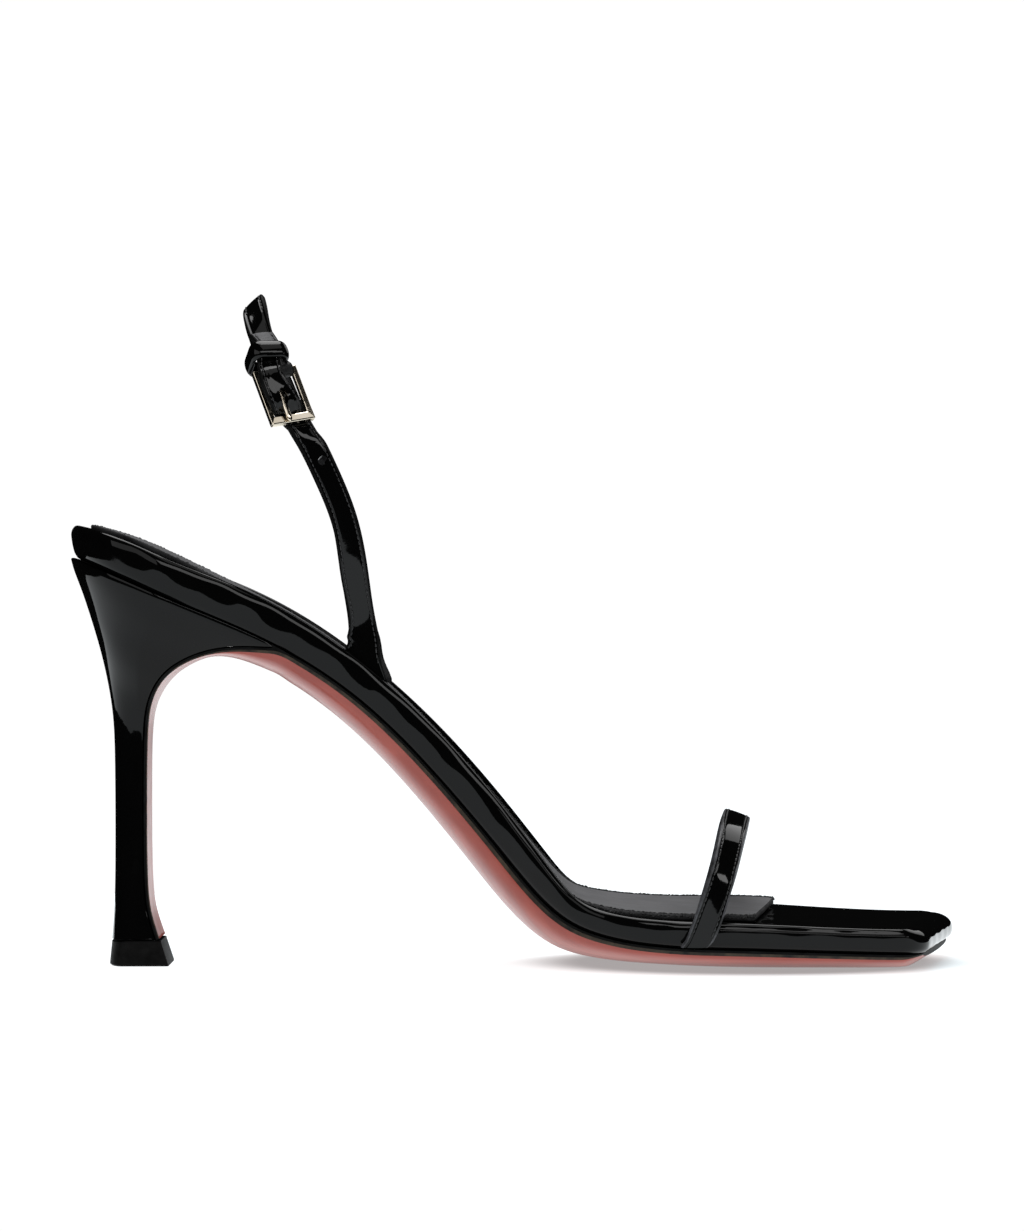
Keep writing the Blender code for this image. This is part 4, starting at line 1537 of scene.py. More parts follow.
@dataclass
class ToeStrap:
    """Lined strap over the toes, lasted outside the footbed's wall."""

    last: LastShape
    foot_x: float = 40.2
    reach: float = 8.5
    lean: float = 0.68
    skew: float = 0.075
    foot: float = 7.0
    foot_rows: int = 5
    spring: float = 12.5
    crest: float = 34.0
    tuck: float = 0.6
    width: float = 6.1
    crest_width: float = 6.4
    thick: float = 2.0
    square: float = 2.9
    clear: float = 0.45
    tilt: float = math.radians(-16)
    tilt_rise: Span = (0.0, 0.25)
    yaw: float = math.radians(33)
    yaw_rise: Span = (0.1, 0.8)
    steps: int = 120
    stitch_inset: float = 0.95
    unsewn: int = 3

    def outline(self, wall: dict[Side, float]) -> list[Span]:
        """The strap's middle line, seen from the front.

        Args:
            wall: how far from the middle it stands on each side.

        Returns:
            Its y and z, from the outer foot to the inner foot.
        """
        rise = self.spring - self.foot
        arch = self.crest - self.spring
        shares = [i / self.foot_rows for i in range(self.foot_rows)]
        foot = [(self.tuck * (1 - share) ** 2, self.foot + rise * share) for share in shares]
        over = []
        for i in range(self.steps + 1):
            angle = math.pi * i / self.steps
            half = wall[Side.OUTER] if math.cos(angle) > 0 else wall[Side.INNER]
            y = -math.copysign(abs(math.cos(angle)) ** (2 / self.square), math.cos(angle)) * half
            over.append((y, self.spring + arch * math.sin(angle) ** (2 / self.square)))
        outer = [(tuck - wall[Side.OUTER], z) for tuck, z in foot]
        return outer + over + [(wall[Side.INNER] - tuck, z) for tuck, z in reversed(foot)]

    def line(self) -> StrapLine:
        """Middle line of the strap, from its outer foot to its inner foot.

        Returns:
            The line.
        """
        stand_off = self.clear + self.thick / 2
        wall = {side: self.last.half[side](self.foot_x + self.width / 3) + stand_off for side in Side}
        line = StrapLine([], [], [], [])
        for y, z in self.outline(wall):
            lean = ((z - self.foot) / (self.crest - self.foot)) ** self.lean
            x = self.foot_x + self.reach * lean + self.skew * (y + wall[Side.OUTER])
            line.points.append(Vector((x, y, z)))
            line.widths.append(self.width + (self.crest_width - self.width) * lean)
            line.thicknesses.append(self.thick)
        for i, point in enumerate(line.points):
            up = (point.z - self.foot) / (self.crest - self.foot)
            turn = self.yaw * ease(up, *self.yaw_rise) * -math.copysign(1, point.y)
            flat = Vector((math.cos(self.tilt) * math.cos(turn), math.sin(turn), math.sin(self.tilt)))
            along = line.along(i)
            square_on = (flat - along * flat.dot(along)).normalized()
            line.wide.append(Vector((1, 0, 0)).lerp(square_on, ease(up, *self.tilt_rise)))
        return line

    def build(self, wardrobe: Wardrobe) -> list[Piece]:
        """Makes the strap.

        Args:
            wardrobe: the finishes.

        Returns:
            The piece.
        """
        skin = StrapSection().skin(self.line())
        piece = skin.piece("toe_strap_leather", wardrobe.strap_patent, wardrobe.painted_light_strap_edge, wardrobe.lining)
        return [hand_over(piece, "patent_leather", "toe_strap")]

    def stitch_lines(self) -> list[Line]:
        """The two rows of stitches."""
        return self.line().edge_lines(self.stitch_inset, self.unsewn, -self.unsewn)


class SlingRow(NamedTuple):
    """A point of the sling's middle line, with the lean of its width in degrees, and its width."""

    x: float
    y: float
    z: float
    tilt: float
    width: float


class Lift(NamedTuple):
    """A place up the strap from the buckle's middle, and its lift away from the foot."""

    along: float
    lift: float


@dataclass
class SlingLoop:
    """Loop of the sling strap, from its outer foot over the top to its inner foot, by length along it."""

    last: LastShape
    rows: tuple[SlingRow, ...] = (
        SlingRow(-34.2, -16.7, 70.3, -38.5, 12.4),
        SlingRow(-34.6, -16.85, 72.9, -36, 9.2),
        SlingRow(-34.9, -17.0, 75.6, -27, 7.8),
        SlingRow(-35.0, -17.1, 78.2, 0, 6.7),
        SlingRow(-36.4, -18.9, 88.0, 6, 6.3),
        SlingRow(-39.0, -21.2, 103.0, 14, 6.0),
        SlingRow(-43.9, -22.0, 115.5, 20, 5.9),
        SlingRow(-47.9, -21.0, 123.4, -12, 5.9),
        SlingRow(-50.2, -19.8, 127.2, -32, 5.9),
        SlingRow(-54.8, -16.1, 137.0, -36, 5.9),
        SlingRow(-57.3, -12.6, 142.2, -30, 5.8),
        SlingRow(-60.1, -7.0, 150.0, 10, 5.8),
        SlingRow(-61.0, 0.0, 154.2, 43, 5.8),
    )
    foot_rows: int = 3
    inner_back: float = 0.08
    inner_tilt: float = 24
    inner_low: float = 100.0
    inner_foot: float = 0.8
    buckle_z: float = 130.5
    flat_middle: float = 0.9
    flat_reach: float = 8.5
    flat_blend: float = 6.0
    near: float = 0.2
    search: float = 0.1

    def __post_init__(self) -> None:
        """Draws the curves of the loop."""
        foot = self.rows[0]
        self.foot_reach = self.rows[self.foot_rows].z - foot.z
        outer = [foot._replace(z=self.last.rim(foot.x) + GAP), *self.rows[1:]]
        inner = []
        for row in outer[-2:0:-1]:
            tilt = self.inner_tilt if row.tilt < 0 and row.z > self.inner_low else row.tilt
            back = self.inner_back * min((row.z - foot.z) / self.foot_reach, 1)
            inner.append(row._replace(x=row.x + back * row.y, y=-row.y, tilt=tilt))
        every = outer + inner + [outer[0]._replace(y=-foot.y - self.inner_foot)]
        keys = lengths_along([Vector(row[:3]) for row in every])
        self.length = float(keys[-1])
        *self.place, self.tilt, self.width = curves_of(every, keys)
        steps = np.arange(0, self.length, self.search)
        self.buckle = next(s for s in steps if self.point(s).z > self.buckle_z)

    def point(self, s: float) -> Vector:
        """A point of the middle line."""
        return Vector([curve(s) for curve in self.place])

    def direction(self, s: float) -> Vector:
        """Direction of the middle line."""
        return (self.point(s + self.near) - self.point(s - self.near)).normalized()

    def across(self, s: float) -> Vector:
        """Direction of the strap's width.

        Args:
            s: length along the loop.

        Returns:
            The direction, square to the strap except at its feet.
        """
        tilt = math.radians(self.tilt(s))
        lean = Vector((math.cos(tilt), 0, math.sin(tilt)))
        along = self.direction(min(max(s, self.near), self.length - self.near))
        foot = min(s, self.length - s) / self.foot_reach
        return (lean - along * lean.dot(along) * min(max(foot, 0), 1) ** 2).normalized()

    def frame(self) -> Matrix:
        """Local axes of the buckle: across the strap, up the strap, away from the foot.

        Returns:
            The axes, in millimetres.
        """
        across = self.across(self.buckle)
        along = self.direction(self.buckle)
        turn = Matrix((across, along, across.cross(along).normalized())).transposed().to_4x4()
        return Matrix.Translation(self.point(self.buckle)) @ turn

    def curved_share(self, along: float) -> float:
        """0 where the strap lies flat in the buckle, 1 where it follows the loop."""
        return ease(abs(along - self.flat_middle) - self.flat_reach, 0.0, self.flat_blend)

    def lifted(self, along: float, lift: float) -> Vector:
        """A point near the buckle.

        Args:
            along: length up the strap from the buckle's middle.
            lift: distance away from the foot.

        Returns:
            The point.
        """
        s = self.buckle + along
        out = self.across(s).cross(self.direction(s)).normalized()
        flat = self.frame() @ Vector((0, along, lift))
        return flat.lerp(self.point(s) + out * lift, self.curved_share(along))

    def wide(self, along: float) -> Vector:
        """Direction of the strap's width near the buckle."""
        curved = self.across(self.buckle + along)
        return self.across(self.buckle).lerp(curved, self.curved_share(along)).normalized()

    def line(self, stations: Sequence[Lift], thicknesses: list[float]) -> StrapLine:
        """Middle line of a strap of the loop.

        Args:
            stations: its places.
            thicknesses: its thickness at each place.

        Returns:
            The line.
        """
        points = [self.lifted(*place) for place in stations]
        wide = [self.wide(place.along) for place in stations]
        widths = [self.width(self.buckle + place.along) for place in stations]
        return StrapLine(points, wide, widths, thicknesses)


@dataclass
class SlingStraps:
    """The two halves of the sling: the punched outer strap, and the rest, folded round the buckle's bar."""

    loop: SlingLoop
    hole_lifts: tuple[Lift, ...] = (
        Lift(-12, 0.0), Lift(-6.4, -0.1), Lift(-4.4, 0.0), Lift(-3.3, 0.9), Lift(-2.0, 2.4),
        Lift(-0.6, 3.6), Lift(1.0, 4.2), Lift(3.2, 4.6), Lift(5.4, 4.8), Lift(7.2, 4.3), Lift(8.6, 3.5),
        Lift(10.0, 3.1), Lift(12, 2.9), Lift(15, 2.8), Lift(17.6, 2.3),
    )
    fold: tuple[Lift, ...] = (
        Lift(14.1, 1.35), Lift(10.9, 1.45), Lift(9.6, 1.75), Lift(8.4, 2.4), Lift(7.2, 3.2),
        Lift(6.17, 2.78), Lift(5.75, 1.75), Lift(6.17, 0.72), Lift(7.2, 0.3), Lift(8.7, 0.12),
        Lift(10.4, 0.0),
    )
    drift: tuple[Span, ...] = (
        (-10.0, 0.0), (-6.5, -0.3), (-4.0, -1.5), (-1.5, -2.7), (2.0, -3.7), (5.0, -4.0), (7.5, -3.2),
        (10.5, -1.8), (17.6, -0.8),
    )
    spread: float = 1.7
    spread_up: Span = (-5.0, -2.0)
    spread_down: Span = (-1.0, 6.0)
    hole_thick: float = 1.5
    tail_steps: int = 11
    back_thick: float = 1.6
    fold_thick: float = 0.9
    fold_blend: float = 9.0
    fold_end: float = 22.0
    pitch: float = 0.9
    fine_pitch: float = 0.4
    root_depth: float = 1.3
    holes: tuple[Place, ...] = ((-0.4, 2.0, -3.1), (-16.4, 1.0, 0.0))
    hole_radius: float = 1.0
    hole_sides: int = 28
    slot_size: Place = (2.4, 5.4, 7.0)
    slot_middle: Place = (-3.0, 7.2, 1.75)
    stitch_inset: float = 0.95
    unsewn_foot: int = 4
    unsewn_end: int = 3

    def hole_line(self) -> StrapLine:
        """Middle line of the punched strap.

        Returns:
            The line, from inside the footbed's rim to its loose end.
        """
        lift = Curve(*zip(*self.hole_lifts))
        drift = Curve(*zip(*self.drift))
        start = self.hole_lifts[0].along
        stations = [Lift(along, 0.0) for along in even_steps(-self.loop.buckle, start, self.pitch)]
        for along in even_steps(start, self.hole_lifts[-1].along, self.fine_pitch)[1:]:
            stations.append(Lift(along, lift(along)))
        line = self.loop.line(stations, [self.hole_thick] * len(stations))
        for i, place in enumerate(stations):
            line.points[i] += line.wide[i] * drift(place.along)
            bulge = ease(place.along, *self.spread_up) * (1 - ease(place.along, *self.spread_down))
            line.widths[i] += self.spread * bulge
        return self.rooted(line, 0)

    def back_line(self) -> StrapLine:
        """Middle line of the folded strap.

        Returns:
            The line, from its sewn end over the loop to inside the rim on the inner side.
        """
        route = [Vector((*place, 0)) for place in self.fold]
        keys = lengths_along(route)
        along, lift, _ = curves_of(route, keys)
        stations = [Lift(along(key), lift(key)) for key in even_steps(0, keys[-1], self.fine_pitch)]
        thicknesses = [self.fold_thick] * len(stations)
        start = self.fold[-1].along
        for s in even_steps(0, self.loop.length - self.loop.buckle - start, self.pitch)[1:]:
            stations.append(Lift(start + s, 0.0))
            share = min(s / self.fold_blend, 1.0)
            thicknesses.append(self.fold_thick + (self.back_thick - self.fold_thick) * share)
        return self.rooted(self.loop.line(stations, thicknesses), -1)

    def rooted(self, line: StrapLine, foot: int) -> StrapLine:
        """The line with its foot drawn down behind the rim.

        Args:
            line: a strap's line.
            foot: 0 if its foot is its first step, -1 if it is its last.

        Returns:
            The same line, one step longer.
        """
        place = 0 if foot == 0 else len(line.points)
        line.points.insert(place, line.points[foot] - Vector((0, 0, self.root_depth)))
        for values in (line.wide, line.widths, line.thicknesses):
            values.insert(place, values[foot])
        return line

    def cut(self, piece: Piece, work: bmesh.types.BMesh, matrix: Matrix) -> None:
        """Cuts a shape out of a strap.

        Args:
            piece: the strap.
            work: the shape, in millimetres on the buckle's axes.
            matrix: place of those axes in the sandal.
        """
        bmesh.ops.transform(work, matrix=Matrix.Translation(SHIFT) @ matrix, verts=work.verts)
        bmesh.ops.scale(work, vec=(MM, MM, MM), verts=work.verts)
        shape = linked("cutter", mesh_of("cutter", work))
        taken = piece.modifiers.new("cut", "BOOLEAN")
        taken.object = shape
        taken.operation = "DIFFERENCE"
        settle(piece)
        bpy.data.objects.remove(shape)

    def hole_strap(self, wardrobe: Wardrobe) -> Piece:
        """Makes the punched strap.

        Args:
            wardrobe: the finishes.

        Returns:
            The piece.
        """
        skin = StrapSection().skin(self.hole_line(), self.tail_steps)
        finishes = (wardrobe.strap_patent, wardrobe.ink, wardrobe.lining, wardrobe.tail)
        piece = skin.piece("sling_hole_strap_leather", *finishes)
        lift = Curve(*zip(*self.hole_lifts))
        for along, half_length, across in self.holes:
            work = bmesh.new()
            size = {"radius1": self.hole_radius, "radius2": self.hole_radius, "depth": 5 * self.hole_thick}
            bmesh.ops.create_cone(work, cap_ends=True, segments=self.hole_sides, **size)
            bmesh.ops.scale(work, vec=(1, half_length / self.hole_radius, 1), verts=work.verts)
            matrix = self.loop.frame()
            matrix.translation = self.loop.lifted(along, lift(along)) + self.loop.wide(along) * across
            self.cut(piece, work, matrix)
        return hand_over(piece, "patent_leather", "sling_hole_strap")

    def back_strap(self, wardrobe: Wardrobe) -> Piece:
        """Makes the folded strap, with the slot that the prong comes through.

        Args:
            wardrobe: the finishes.

        Returns:
            The piece.
        """
        skin = StrapSection().skin(self.back_line())
        finishes = (wardrobe.strap_patent, wardrobe.ink, wardrobe.lining)
        piece = skin.piece("sling_back_strap_leather", *finishes)
        work = bmesh.new()
        bmesh.ops.create_cube(work, size=1)
        bmesh.ops.scale(work, vec=self.slot_size, verts=work.verts)
        self.cut(piece, work, self.loop.frame() @ Matrix.Translation(self.slot_middle))
        return hand_over(piece, "patent_leather", "sling_back_strap")

    def build(self, wardrobe: Wardrobe) -> list[Piece]:
        """The punched strap and the folded strap."""
        return [self.hole_strap(wardrobe), self.back_strap(wardrobe)]

    def stitch_lines(self) -> list[Line]:
        """Rows of stitches along both edges of both straps.

        Returns:
            Their lines.
        """
        past_fold = len(even_steps(0, self.fold_end, self.fine_pitch))
        lines = self.hole_line().edge_lines(self.stitch_inset, self.unsewn_foot, -self.unsewn_end)
        return lines + self.back_line().edge_lines(self.stitch_inset, past_fold, -self.unsewn_foot)


@dataclass
class Buckle:
    """Rectangular metal frame with a broad lower bar, and the prong hooked round its upper bar."""

    loop: SlingLoop
    low: float = -6.2
    high: float = 7.9
    width: float = 11.0
    lift: float = 1.75
    thick: float = 1.4
    bar: float = 1.4
    front_bar: float = 2.2
    side: float = -2.2
    turn: float = math.radians(-4.5)
    slope: float = 0.2
    slope_end: float = 0.9
    bevel: float = 0.28
    bevel_steps: int = 4
    flat_area: float = 1.0
    prong_radius: float = 0.68
    prong_depth: float = 0.85
    prong_clear: float = 0.5
    prong_side: float = -1.2
    prong_tip: float = -6.3
    prong_pitch: float = 0.4
    prong_sides: int = 14
    tip_steps: float = 3.0
    tip_share: float = 0.15
    hook_start: float = math.radians(-185)
    hook_end: float = math.radians(90)
    hook_steps: int = 24

    def axes(self) -> Matrix:
        """Axes of the frame, turned about the middle of its lower bar.

        Returns:
            The axes, in millimetres.
        """
        middle = Vector((0, self.low + self.front_bar / 2, 0))
        turn = Matrix.Translation(middle) @ Matrix.Rotation(self.turn, 4, "Z") @ Matrix.Translation(-middle)
        return self.loop.frame() @ Matrix.Translation((self.side, 0, 0)) @ turn

    def bars(self, wardrobe: Wardrobe) -> Piece:
        """Makes the frame.

        Args:
            wardrobe: the finishes.

        Returns:
            The piece.
        """
        inside = (self.width / 2 - self.bar, self.low + self.front_bar, self.high - self.bar)
        outside = (self.width / 2, self.low, self.high)
        level = inside[1] + self.slope_end
        bottom = self.lift - self.thick / 2
        top = self.lift + self.thick / 2
        matrix = self.axes()
        loops = []
        for (wide, front, back), z, slope in (
            (inside, bottom, 0.0),
            (outside, bottom, 0.0),
            (outside, top, self.slope),
            (inside, top, -self.slope),
        ):
            ring = [(-wide, front, z + slope), (wide, front, z + slope), (wide, level, z)]
            ring += [(wide, back, z), (-wide, back, z), (-wide, level, z)]
            loops.append([matrix @ Vector(corner) for corner in ring])
        skin = Skin()
        skin.ring(loops)
        piece = skin.piece("buckle_frame_bars", wardrobe.gold)
        rounding = piece.modifiers.new("rounding", "BEVEL")
        rounding.width = self.bevel * MM
        rounding.segments = self.bevel_steps
        rounding.limit_method = "ANGLE"
        settle(piece)
        for face in piece.data.polygons:
            face.use_smooth = face.area < self.flat_area * MM * MM
        return hand_over(piece, "pale_gold", "buckle_frame")

    def prong(self, wardrobe: Wardrobe) -> Piece:
        """Makes the prong: a wire that rounds off at its tip.

        Args:
            wardrobe: the finishes.

        Returns:
            The piece.
        """
        hook = self.bar / 2 + GAP + self.prong_clear
        places = []
        for i in range(self.hook_steps + 1):
            angle = self.hook_start + (self.hook_end - self.hook_start) * i / self.hook_steps
            along = self.high - self.bar / 2 + hook * math.cos(angle)
            places.append((along, self.lift + hook * math.sin(angle)))
        for along in even_steps(places[-1][0], self.prong_tip, self.prong_pitch)[1:]:
            places.append((along, self.lift + hook))
        matrix = self.axes()
        middle = [matrix @ Vector((self.prong_side, *place)) for place in places]
        sideways = (matrix.to_3x3() @ Vector((1, 0, 0))).normalized()
        line = StrapLine(middle, [sideways] * len(middle), [], [])
        turns = [2 * math.pi * k / self.prong_sides for k in range(self.prong_sides)]
        loops = []
        for i in range(len(middle)):
            left = min((len(middle) - 1 - i) / self.tip_steps, 1.0)
            taper = math.sqrt(1 - (1 - left) ** 2) * (1 - self.tip_share) + self.tip_share
            across = self.prong_radius * taper
            deep = across * self.prong_depth
            loops.append([line.at(i, across * math.cos(a), deep * math.sin(a)) for a in turns])
        skin = Skin()
        skin.loft(loops)
        return hand_over(skin.piece("buckle_prong_wire", wardrobe.gold), "pale_gold", "buckle_prong")

    def build(self, wardrobe: Wardrobe) -> list[Piece]:
        """The frame and the prong."""
        return [self.bars(wardrobe), self.prong(wardrobe)]


@dataclass
class Keeper:
    """Leather loop that holds the strap's loose end, fuller in the middle of its width."""

    loop: SlingLoop
    low: float = 8.2
    high: float = 12.8
    half_width: float = 3.6
    side: float = -1.6
    turn: float = math.radians(-13)
    under: float = -1.9
    over: float = 5.2
    thick: float = 1.1
    thin: float = 0.12
    bulge: float = 0.45
    edge_power: float = 6
    lining_share: float = 0.98
    corner: float = 1.6
    corner_points: int = 10
    steps: int = 14

    def ring(self, grow: float) -> list[Span]:
        """A rectangle with round corners, in the plane across the strap.

        Args:
            grow: how far it stands outside the loop's inner face.

        Returns:
            Its points.
        """
        radius = self.corner + grow
        right = self.half_width + grow - radius
        low = self.under - grow + radius
        high = self.over + grow - radius
        points = []
        for x, z, start in ((right, low, -90), (right, high, 0), (-right, high, 90), (-right, low, 180)):
            for i in range(self.corner_points + 1):
                angle = math.radians(start + 90 * i / self.corner_points)
                points.append((x + radius * math.cos(angle), z + radius * math.sin(angle)))
        return points

    def build(self, wardrobe: Wardrobe) -> list[Piece]:
        """Makes the keeper.

        Args:
            wardrobe: the finishes.

        Returns:
            The piece.
        """
        middle = (self.low + self.high) / 2
        across = self.loop.wide(middle)
        up = self.loop.lifted(self.high, 0) - self.loop.lifted(self.low, 0)
        out = across.cross(up).normalized()
        turn = Matrix((across, out.cross(across), out)).transposed().to_4x4()
        turn = turn @ Matrix.Rotation(self.turn, 4, "Z")
        matrix = Matrix.Translation(self.loop.lifted(middle, 0) + across * self.side) @ turn
        half = (self.high - self.low) / 2
        profile = []
        for i in range(self.steps + 1):
            share = 2 * i / self.steps - 1
            rim = math.sqrt(max(1 - abs(share) ** self.edge_power, 0.0))
            grow = (self.thick - self.bulge) * rim + self.bulge * (1 - share * share)
            profile.append((share * half, max(grow, self.thin)))
        profile += [(half * self.lining_share, 0.0), (-half * self.lining_share, 0.0)]
        skin = Skin()
        skin.ring([[matrix @ Vector((x, along, z)) for x, z in self.ring(grow)] for along, grow in profile])
        piece = skin.piece("keeper_loop", wardrobe.strap_patent)
        return [hand_over(piece, "patent_leather", "strap_keeper")]


class Stitch(NamedTuple):
    """Sizes of a stitch or fibre in millimetres, how far it slants in radians, and a random seed."""

    pitch: float
    length: float
    radius: float
    slant: float
    seed: int


class LinePattern:
    """Geometry Nodes tree that sets one small shape along lines, at an even pitch and slightly uneven."""

    def __init__(self, mark: Mark) -> None:
        """Builds the tree.

        Args:
            mark: stitches that lie along the line, or short fibres that stand off it.
        """
        self.tree = bpy.data.node_groups.new(mark.value, "GeometryNodeTree")
        sockets = {"Lines": "Geometry", "Pitch": "Float", "Length": "Float", "Radius": "Float"}
        sockets |= {"Slant": "Float", "Seed": "Int", "Material": "Material"}
        for label, kind in sockets.items():
            self.tree.interface.new_socket(label, in_out="INPUT", socket_type="NodeSocket" + kind)
        self.tree.interface.new_socket("Shapes", in_out="OUTPUT", socket_type="NodeSocketGeometry")
        add = partial(add_node, self.tree)
        given = add("NodeGroupInput").outputs
        curve = add("GeometryNodeMeshToCurve", {"Mesh": given["Lines"]}).outputs["Curve"]
        spaced = {"Curve": curve, "Length": given["Pitch"]}
        points = add("GeometryNodeCurveToPoints", spaced, mode="LENGTH").outputs
        lay = add("FunctionNodeAlignRotationToVector", {"Vector": points["Tangent"]}, axis="Z")
        most = add("ShaderNodeCombineXYZ", {"X": given["Slant"], "Y": given["Slant"], "Z": math.pi})
        swing = most.outputs["Vector"]
        back = add("ShaderNodeVectorMath", {0: swing, "Scale": -1.0}, operation="SCALE").outputs["Vector"]
        slant = {"Min": back, "Max": swing, "Seed": given["Seed"]}
        jitter = add("FunctionNodeRandomValue", slant, data_type="FLOAT_VECTOR").outputs["Value"]
        leant = {"Rotation": lay.outputs["Rotation"], "Rotate By": jitter}
        turned = add("FunctionNodeRotateRotation", leant, rotation_space="LOCAL").outputs["Rotation"]
        uneven = {"Min": (0.85, 0.85, 0.8), "Max": (1.15, 1.15, 1.1), "Seed": given["Seed"]}
        size = add("FunctionNodeRandomValue", uneven, data_type="FLOAT_VECTOR").outputs["Value"]
        if mark is Mark.FIBRE:
            cone = {"Vertices": 4, "Radius Bottom": given["Radius"], "Depth": given["Length"]}
            body = add("GeometryNodeMeshCone", cone).outputs["Mesh"]
        else:
            ball = add("GeometryNodeMeshUVSphere", {"Segments": 8, "Rings": 6, "Radius": 1.0})
            half = add("ShaderNodeMath", {0: given["Length"], 1: 0.5}, operation="MULTIPLY")
            form = {"X": given["Radius"], "Y": given["Radius"], "Z": half.outputs["Value"]}
            scale = add("ShaderNodeCombineXYZ", form).outputs["Vector"]
            drawn = {"Geometry": ball.outputs["Mesh"], "Scale": scale}
            body = add("GeometryNodeTransform", drawn).outputs["Geometry"]
        placed = {"Points": points["Points"], "Instance": body, "Rotation": turned, "Scale": size}
        shapes = add("GeometryNodeInstanceOnPoints", placed).outputs["Instances"]
        real = add("GeometryNodeRealizeInstances", {"Geometry": shapes}).outputs["Geometry"]
        dressed = add("GeometryNodeSetMaterial", {"Geometry": real, "Material": given["Material"]})
        add("NodeGroupOutput", {"Shapes": dressed.outputs["Geometry"]})

    def laid(self, name: str, lines: Sequence[Line], material: Material, stitch: Stitch) -> Piece:
        """Lays the shapes along lines.

        Args:
            name: name of the piece.
            lines: lines in millimetres.
            material: finish of the shapes.
            stitch: sizes of the shapes.

        Returns:
            The piece, as a plain mesh.
        """
        points = []
        edges = []
        for line in lines:
            first = len(points)
            points += [(point + SHIFT) * MM for point in line]
            edges += [(i, i + 1) for i in range(first, len(points) - 1)]
        mesh = bpy.data.meshes.new(name)
        mesh.from_pydata(points, edges, [])
        piece = linked(name, mesh)
        given = {"Pitch": stitch.pitch * MM, "Length": stitch.length * MM, "Radius": stitch.radius * MM}
        given |= {"Slant": stitch.slant, "Seed": stitch.seed, "Material": material}
        pattern = piece.modifiers.new("pattern", "NODES")
        pattern.node_group = self.tree
        for item in self.tree.interface.items_tree:
            if item.name in given:
                pattern[item.identifier] = given[item.name]
        settle(piece)
        piece.data.shade_smooth()
        return piece


@dataclass
class Sewing:
    """Every row of thread on the sandal, and the fibres of the sock's cut edge."""

    toe: ToeStrap
    sling: SlingStraps
    sock: Sock
    strap: Stitch = Stitch(1.25, 1.15, 0.19, 0.07, 3)
    whip: Stitch = Stitch(0.8, 1.4, 0.26, 0.5, 8)
    fray: Stitch = Stitch(0.2, 1.2, 0.09, 1.5, 5)
    fray_start: float = -8.0
    fray_share: float = -0.3
    whip_inset: float = 0.9
    raised: float = 0.05
    sunk: float = -0.2

    def seam(self, inset: float, lift: float, ahead: bool) -> list[Line]:
        """Lines along the sock's edge, one on each side.

        Args:
            inset: distance in from the edge.
            lift: height above the upper face.
            ahead: True for the part that frays, by the ball and the toes, False for the part behind it.

        Returns:
            The lines.
        """
        part = [p for p in self.sock.sewn_line(inset, lift) if ahead == (p.x > self.fray_start)]
        return [[point for point in part if point.y * side.value > 0] for side in Side]

    def build(self, wardrobe: Wardrobe) -> list[Piece]:
        """Sews the pieces.

        Args:
            wardrobe: the finishes.

        Returns:
            The rows of stitches, and the fibres.
        """
        stitches = LinePattern(Mark.STITCH)
        fibres = LinePattern(Mark.FIBRE)
        straps = self.toe.stitch_lines() + self.sling.stitch_lines()
        edge = self.seam(self.whip_inset, self.raised, True) + self.seam(self.whip_inset, self.sunk, False)
        cut = self.seam(0.0, self.fray_share * self.sock.thick, True)
        rows = (
            (stitches.laid("strap_stitches", straps, wardrobe.thread, self.strap), "patent_leather"),
            (stitches.laid("sock_stitches", edge, wardrobe.sock_thread, self.whip), "sock_leather"),
            (fibres.laid("sock_edge_fibres", cut, wardrobe.sock_thread, self.fray), "sock_leather"),
        )
        return [hand_over(piece, slot) for piece, slot in rows]


class Softbox(NamedTuple):
    """A light with a bright face: its power, place and aim in millimetres, width and depth in metres."""

    name: str
    power: float
    place: Place
    aim: Place
    width: float
    depth: float


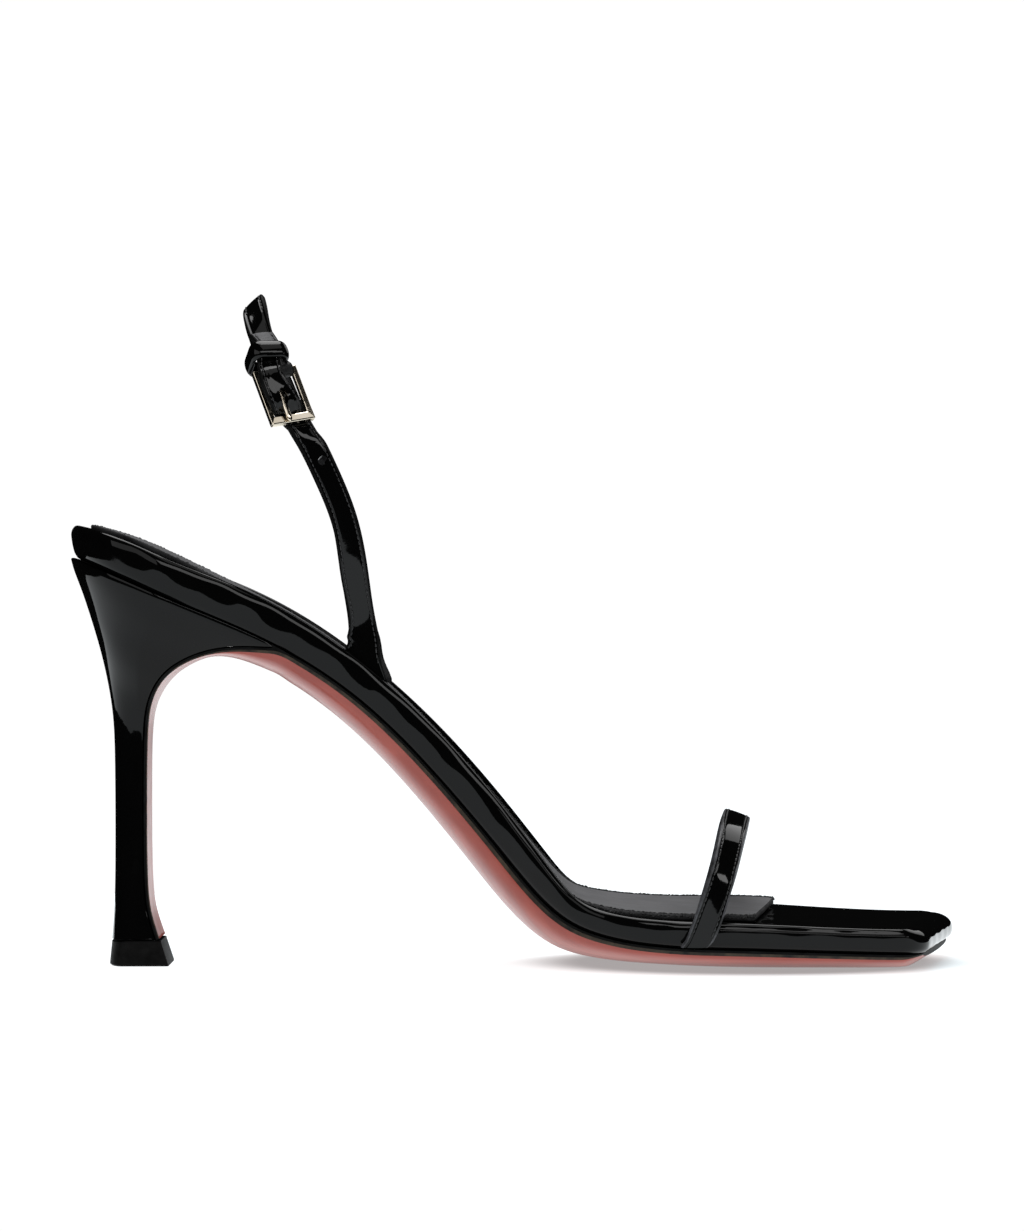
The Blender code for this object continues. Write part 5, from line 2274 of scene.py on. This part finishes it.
@dataclass
class Studio:
    """White table top with soft light from above, in a dark room, and the camera."""

    camera_place: Place = (-0.87, -950.16, 81.4)
    lens: float = 118.73
    sensor: float = 36.0
    far_end: float = 100.0
    table_front: float = -370.0
    table_back: float = 240.0
    table_half: float = 450.0
    wing_left: float = -100.0
    wing_back: float = 1600.0
    paper_wave: float = 40.0
    paper_depth: float = 0.1
    table_glow: float = 0.94
    # The table's glow drops to a lower value in an oval under the forefoot: a painted contact shadow.
    painted_shadow_glow: float = 0.36
    painted_shadow_middle: Place = (55.5, 3.5, 0.0)
    painted_shadow_half: Place = (53.5, 37.5, 1000.0)
    painted_shadow_blend: Span = (0.75, 1.1)
    key_strength: float = 2.3
    key_angle: float = math.radians(44)
    key_place: Place = (0, 500, 1500)
    softboxes: tuple[Softbox, ...] = (
        Softbox("right_softbox", 1.1, (634, 902, 719), (50, -33, 30), 0.58, 0.5),
        Softbox("right_strip", 0.57, (974, -523, 365), (50, -33, 25), 0.3, 0.1),
        Softbox("buckle_card", 0.95, (284, -211, 1264), (-52, -19, 128), 0.6, 0.6),
        Softbox("front_strip", 3.6, (330, -748, 725), (0, 0, 50), 0.9, 0.3),
        Softbox("prong_card", 0.45, (-317, -325, 326), (-52, -24, 128), 0.45, 0.25),
    )
    room: float = 0.003
    backdrop: float = 1.03

    def build(self) -> None:
        """Sets the stage."""
        self.build_table()
        self.build_room()
        self.build_lights()
        self.build_camera()

    def build_table(self) -> None:
        """Makes the table top, lit a little from below, with that glow lowered in an oval under the
        forefoot as a painted contact shadow; it ends before the camera and behind the shoe.
        """
        corners = [(-self.table_half, self.table_front, 0), (self.table_half, self.table_front, 0)]
        corners += [(self.table_half, self.wing_back, 0), (self.wing_left, self.wing_back, 0)]
        corners += [(self.wing_left, self.table_back, 0), (-self.table_half, self.table_back, 0)]
        skin = Skin()
        skin.face(skin.add(corners))
        paper = Surface(Finish("white_paper_with_painted_shadow", "#8f9da3", 0.6, specular=0.1))
        paper.bump(paper.noise(self.paper_wave, detail=1.0), self.paper_depth)
        paper.set("Emission Color", linear("#ffffff"))
        # Painted shadow: inside the oval under the sole the glow falls from the table's level to a lower
        # one.
        painted_shadow_mapping = {"Vector": paper.where, "Location": Vector(self.painted_shadow_middle) * MM}
        painted_shadow_mapping["Scale"] = Vector(self.painted_shadow_half) * MM
        painted_shadow_spot = paper.add("ShaderNodeMapping", painted_shadow_mapping, vector_type="TEXTURE").outputs["Vector"]
        away = paper.add("ShaderNodeVectorMath", {0: painted_shadow_spot}, operation="LENGTH").outputs["Value"]
        near, far = self.painted_shadow_blend
        steps = {"Value": away, "From Min": near, "From Max": far}
        steps |= {"To Min": self.painted_shadow_glow, "To Max": self.table_glow}
        glow = paper.add("ShaderNodeMapRange", steps, interpolation_type="SMOOTHSTEP")
        paper.set("Emission Strength", glow.outputs["Result"])
        table = skin.piece("table_top", paper.material)
        for face in table.data.polygons:
            if face.normal.z < 0:
                face.flip()

    def build_room(self) -> None:
        """White behind the shoe for the camera, dark for everything that reflects."""
        world = bpy.data.worlds.new("dark_room")
        world.use_nodes = True
        bpy.context.scene.world = world
        world.node_tree.nodes.clear()
        add = partial(add_node, world.node_tree)
        both: dict[str | int, object] = {0: add("ShaderNodeLightPath").outputs["Is Camera Ray"]}
        for i, strength in enumerate((self.room, self.backdrop)):
            glow = add("ShaderNodeBackground", {"Color": (1, 1, 1, 1), "Strength": strength})
            both[i + 1] = glow.outputs["Background"]
        add("ShaderNodeOutputWorld", {"Surface": add("ShaderNodeMixShader", both).outputs["Shader"]})

    def light(self, name: str, kind: str, strength: float, place: Place, aim: Place) -> bpy.types.Light:
        """Adds a light.

        Args:
            name: name of the light.
            kind: Blender's kind of light.
            strength: its energy.
            place: where it stands, in millimetres.
            aim: what it points at, in millimetres.

        Returns:
            The light.
        """
        data = bpy.data.lights.new(name, kind)
        data.energy = strength
        made = linked(name, data)
        made.location = Vector(place) * MM
        made.rotation_euler = (Vector(aim) - Vector(place)).to_track_quat("-Z", "Y").to_euler()
        return data

    def build_lights(self) -> None:
        """A broad soft light overhead, and smaller ones for the toe strap, the buckle and the rim."""
        key = self.light("overhead_softbox", "SUN", self.key_strength, self.key_place, (0, 0, 0))
        key.angle = self.key_angle
        for box in self.softboxes:
            made = self.light(box.name, "AREA", box.power, box.place, box.aim)
            made.shape = "RECTANGLE"
            made.size = box.width
            made.size_y = box.depth

    def build_camera(self) -> None:
        """The photograph's camera, level, looking across the shoe from its outer side."""
        data = bpy.data.cameras.new("camera")
        data.lens = self.lens
        data.sensor_width = self.sensor
        data.clip_end = self.far_end
        made = linked("camera", data)
        made.location = Vector(self.camera_place) * MM
        made.rotation_euler = (math.pi / 2, 0, 0)
        bpy.context.scene.camera = made
        bpy.context.scene.view_settings.view_transform = "Standard"


def main() -> None:
    """Builds the sandal and reports each piece, then builds the studio."""
    logging.basicConfig(level=logging.INFO, format="%(name)s %(message)s")
    last = LastShape()
    loop = SlingLoop(last)
    wardrobe = Wardrobe(loop.frame())
    sock = Sock(last)
    toe = ToeStrap(last)
    sling = SlingStraps(loop)
    under = (Footbed(last), sock, Heel(last), Outsole(last))
    upper = (toe, sling, Buckle(loop), Keeper(loop), Sewing(toe, sling, sock))
    for assembly in under + upper:
        for piece in assembly.build(wardrobe):
            LOG.info("%s: %d faces", piece.name, len(piece.data.polygons))
    Studio().build()


if __name__ == "__main__":
    main()
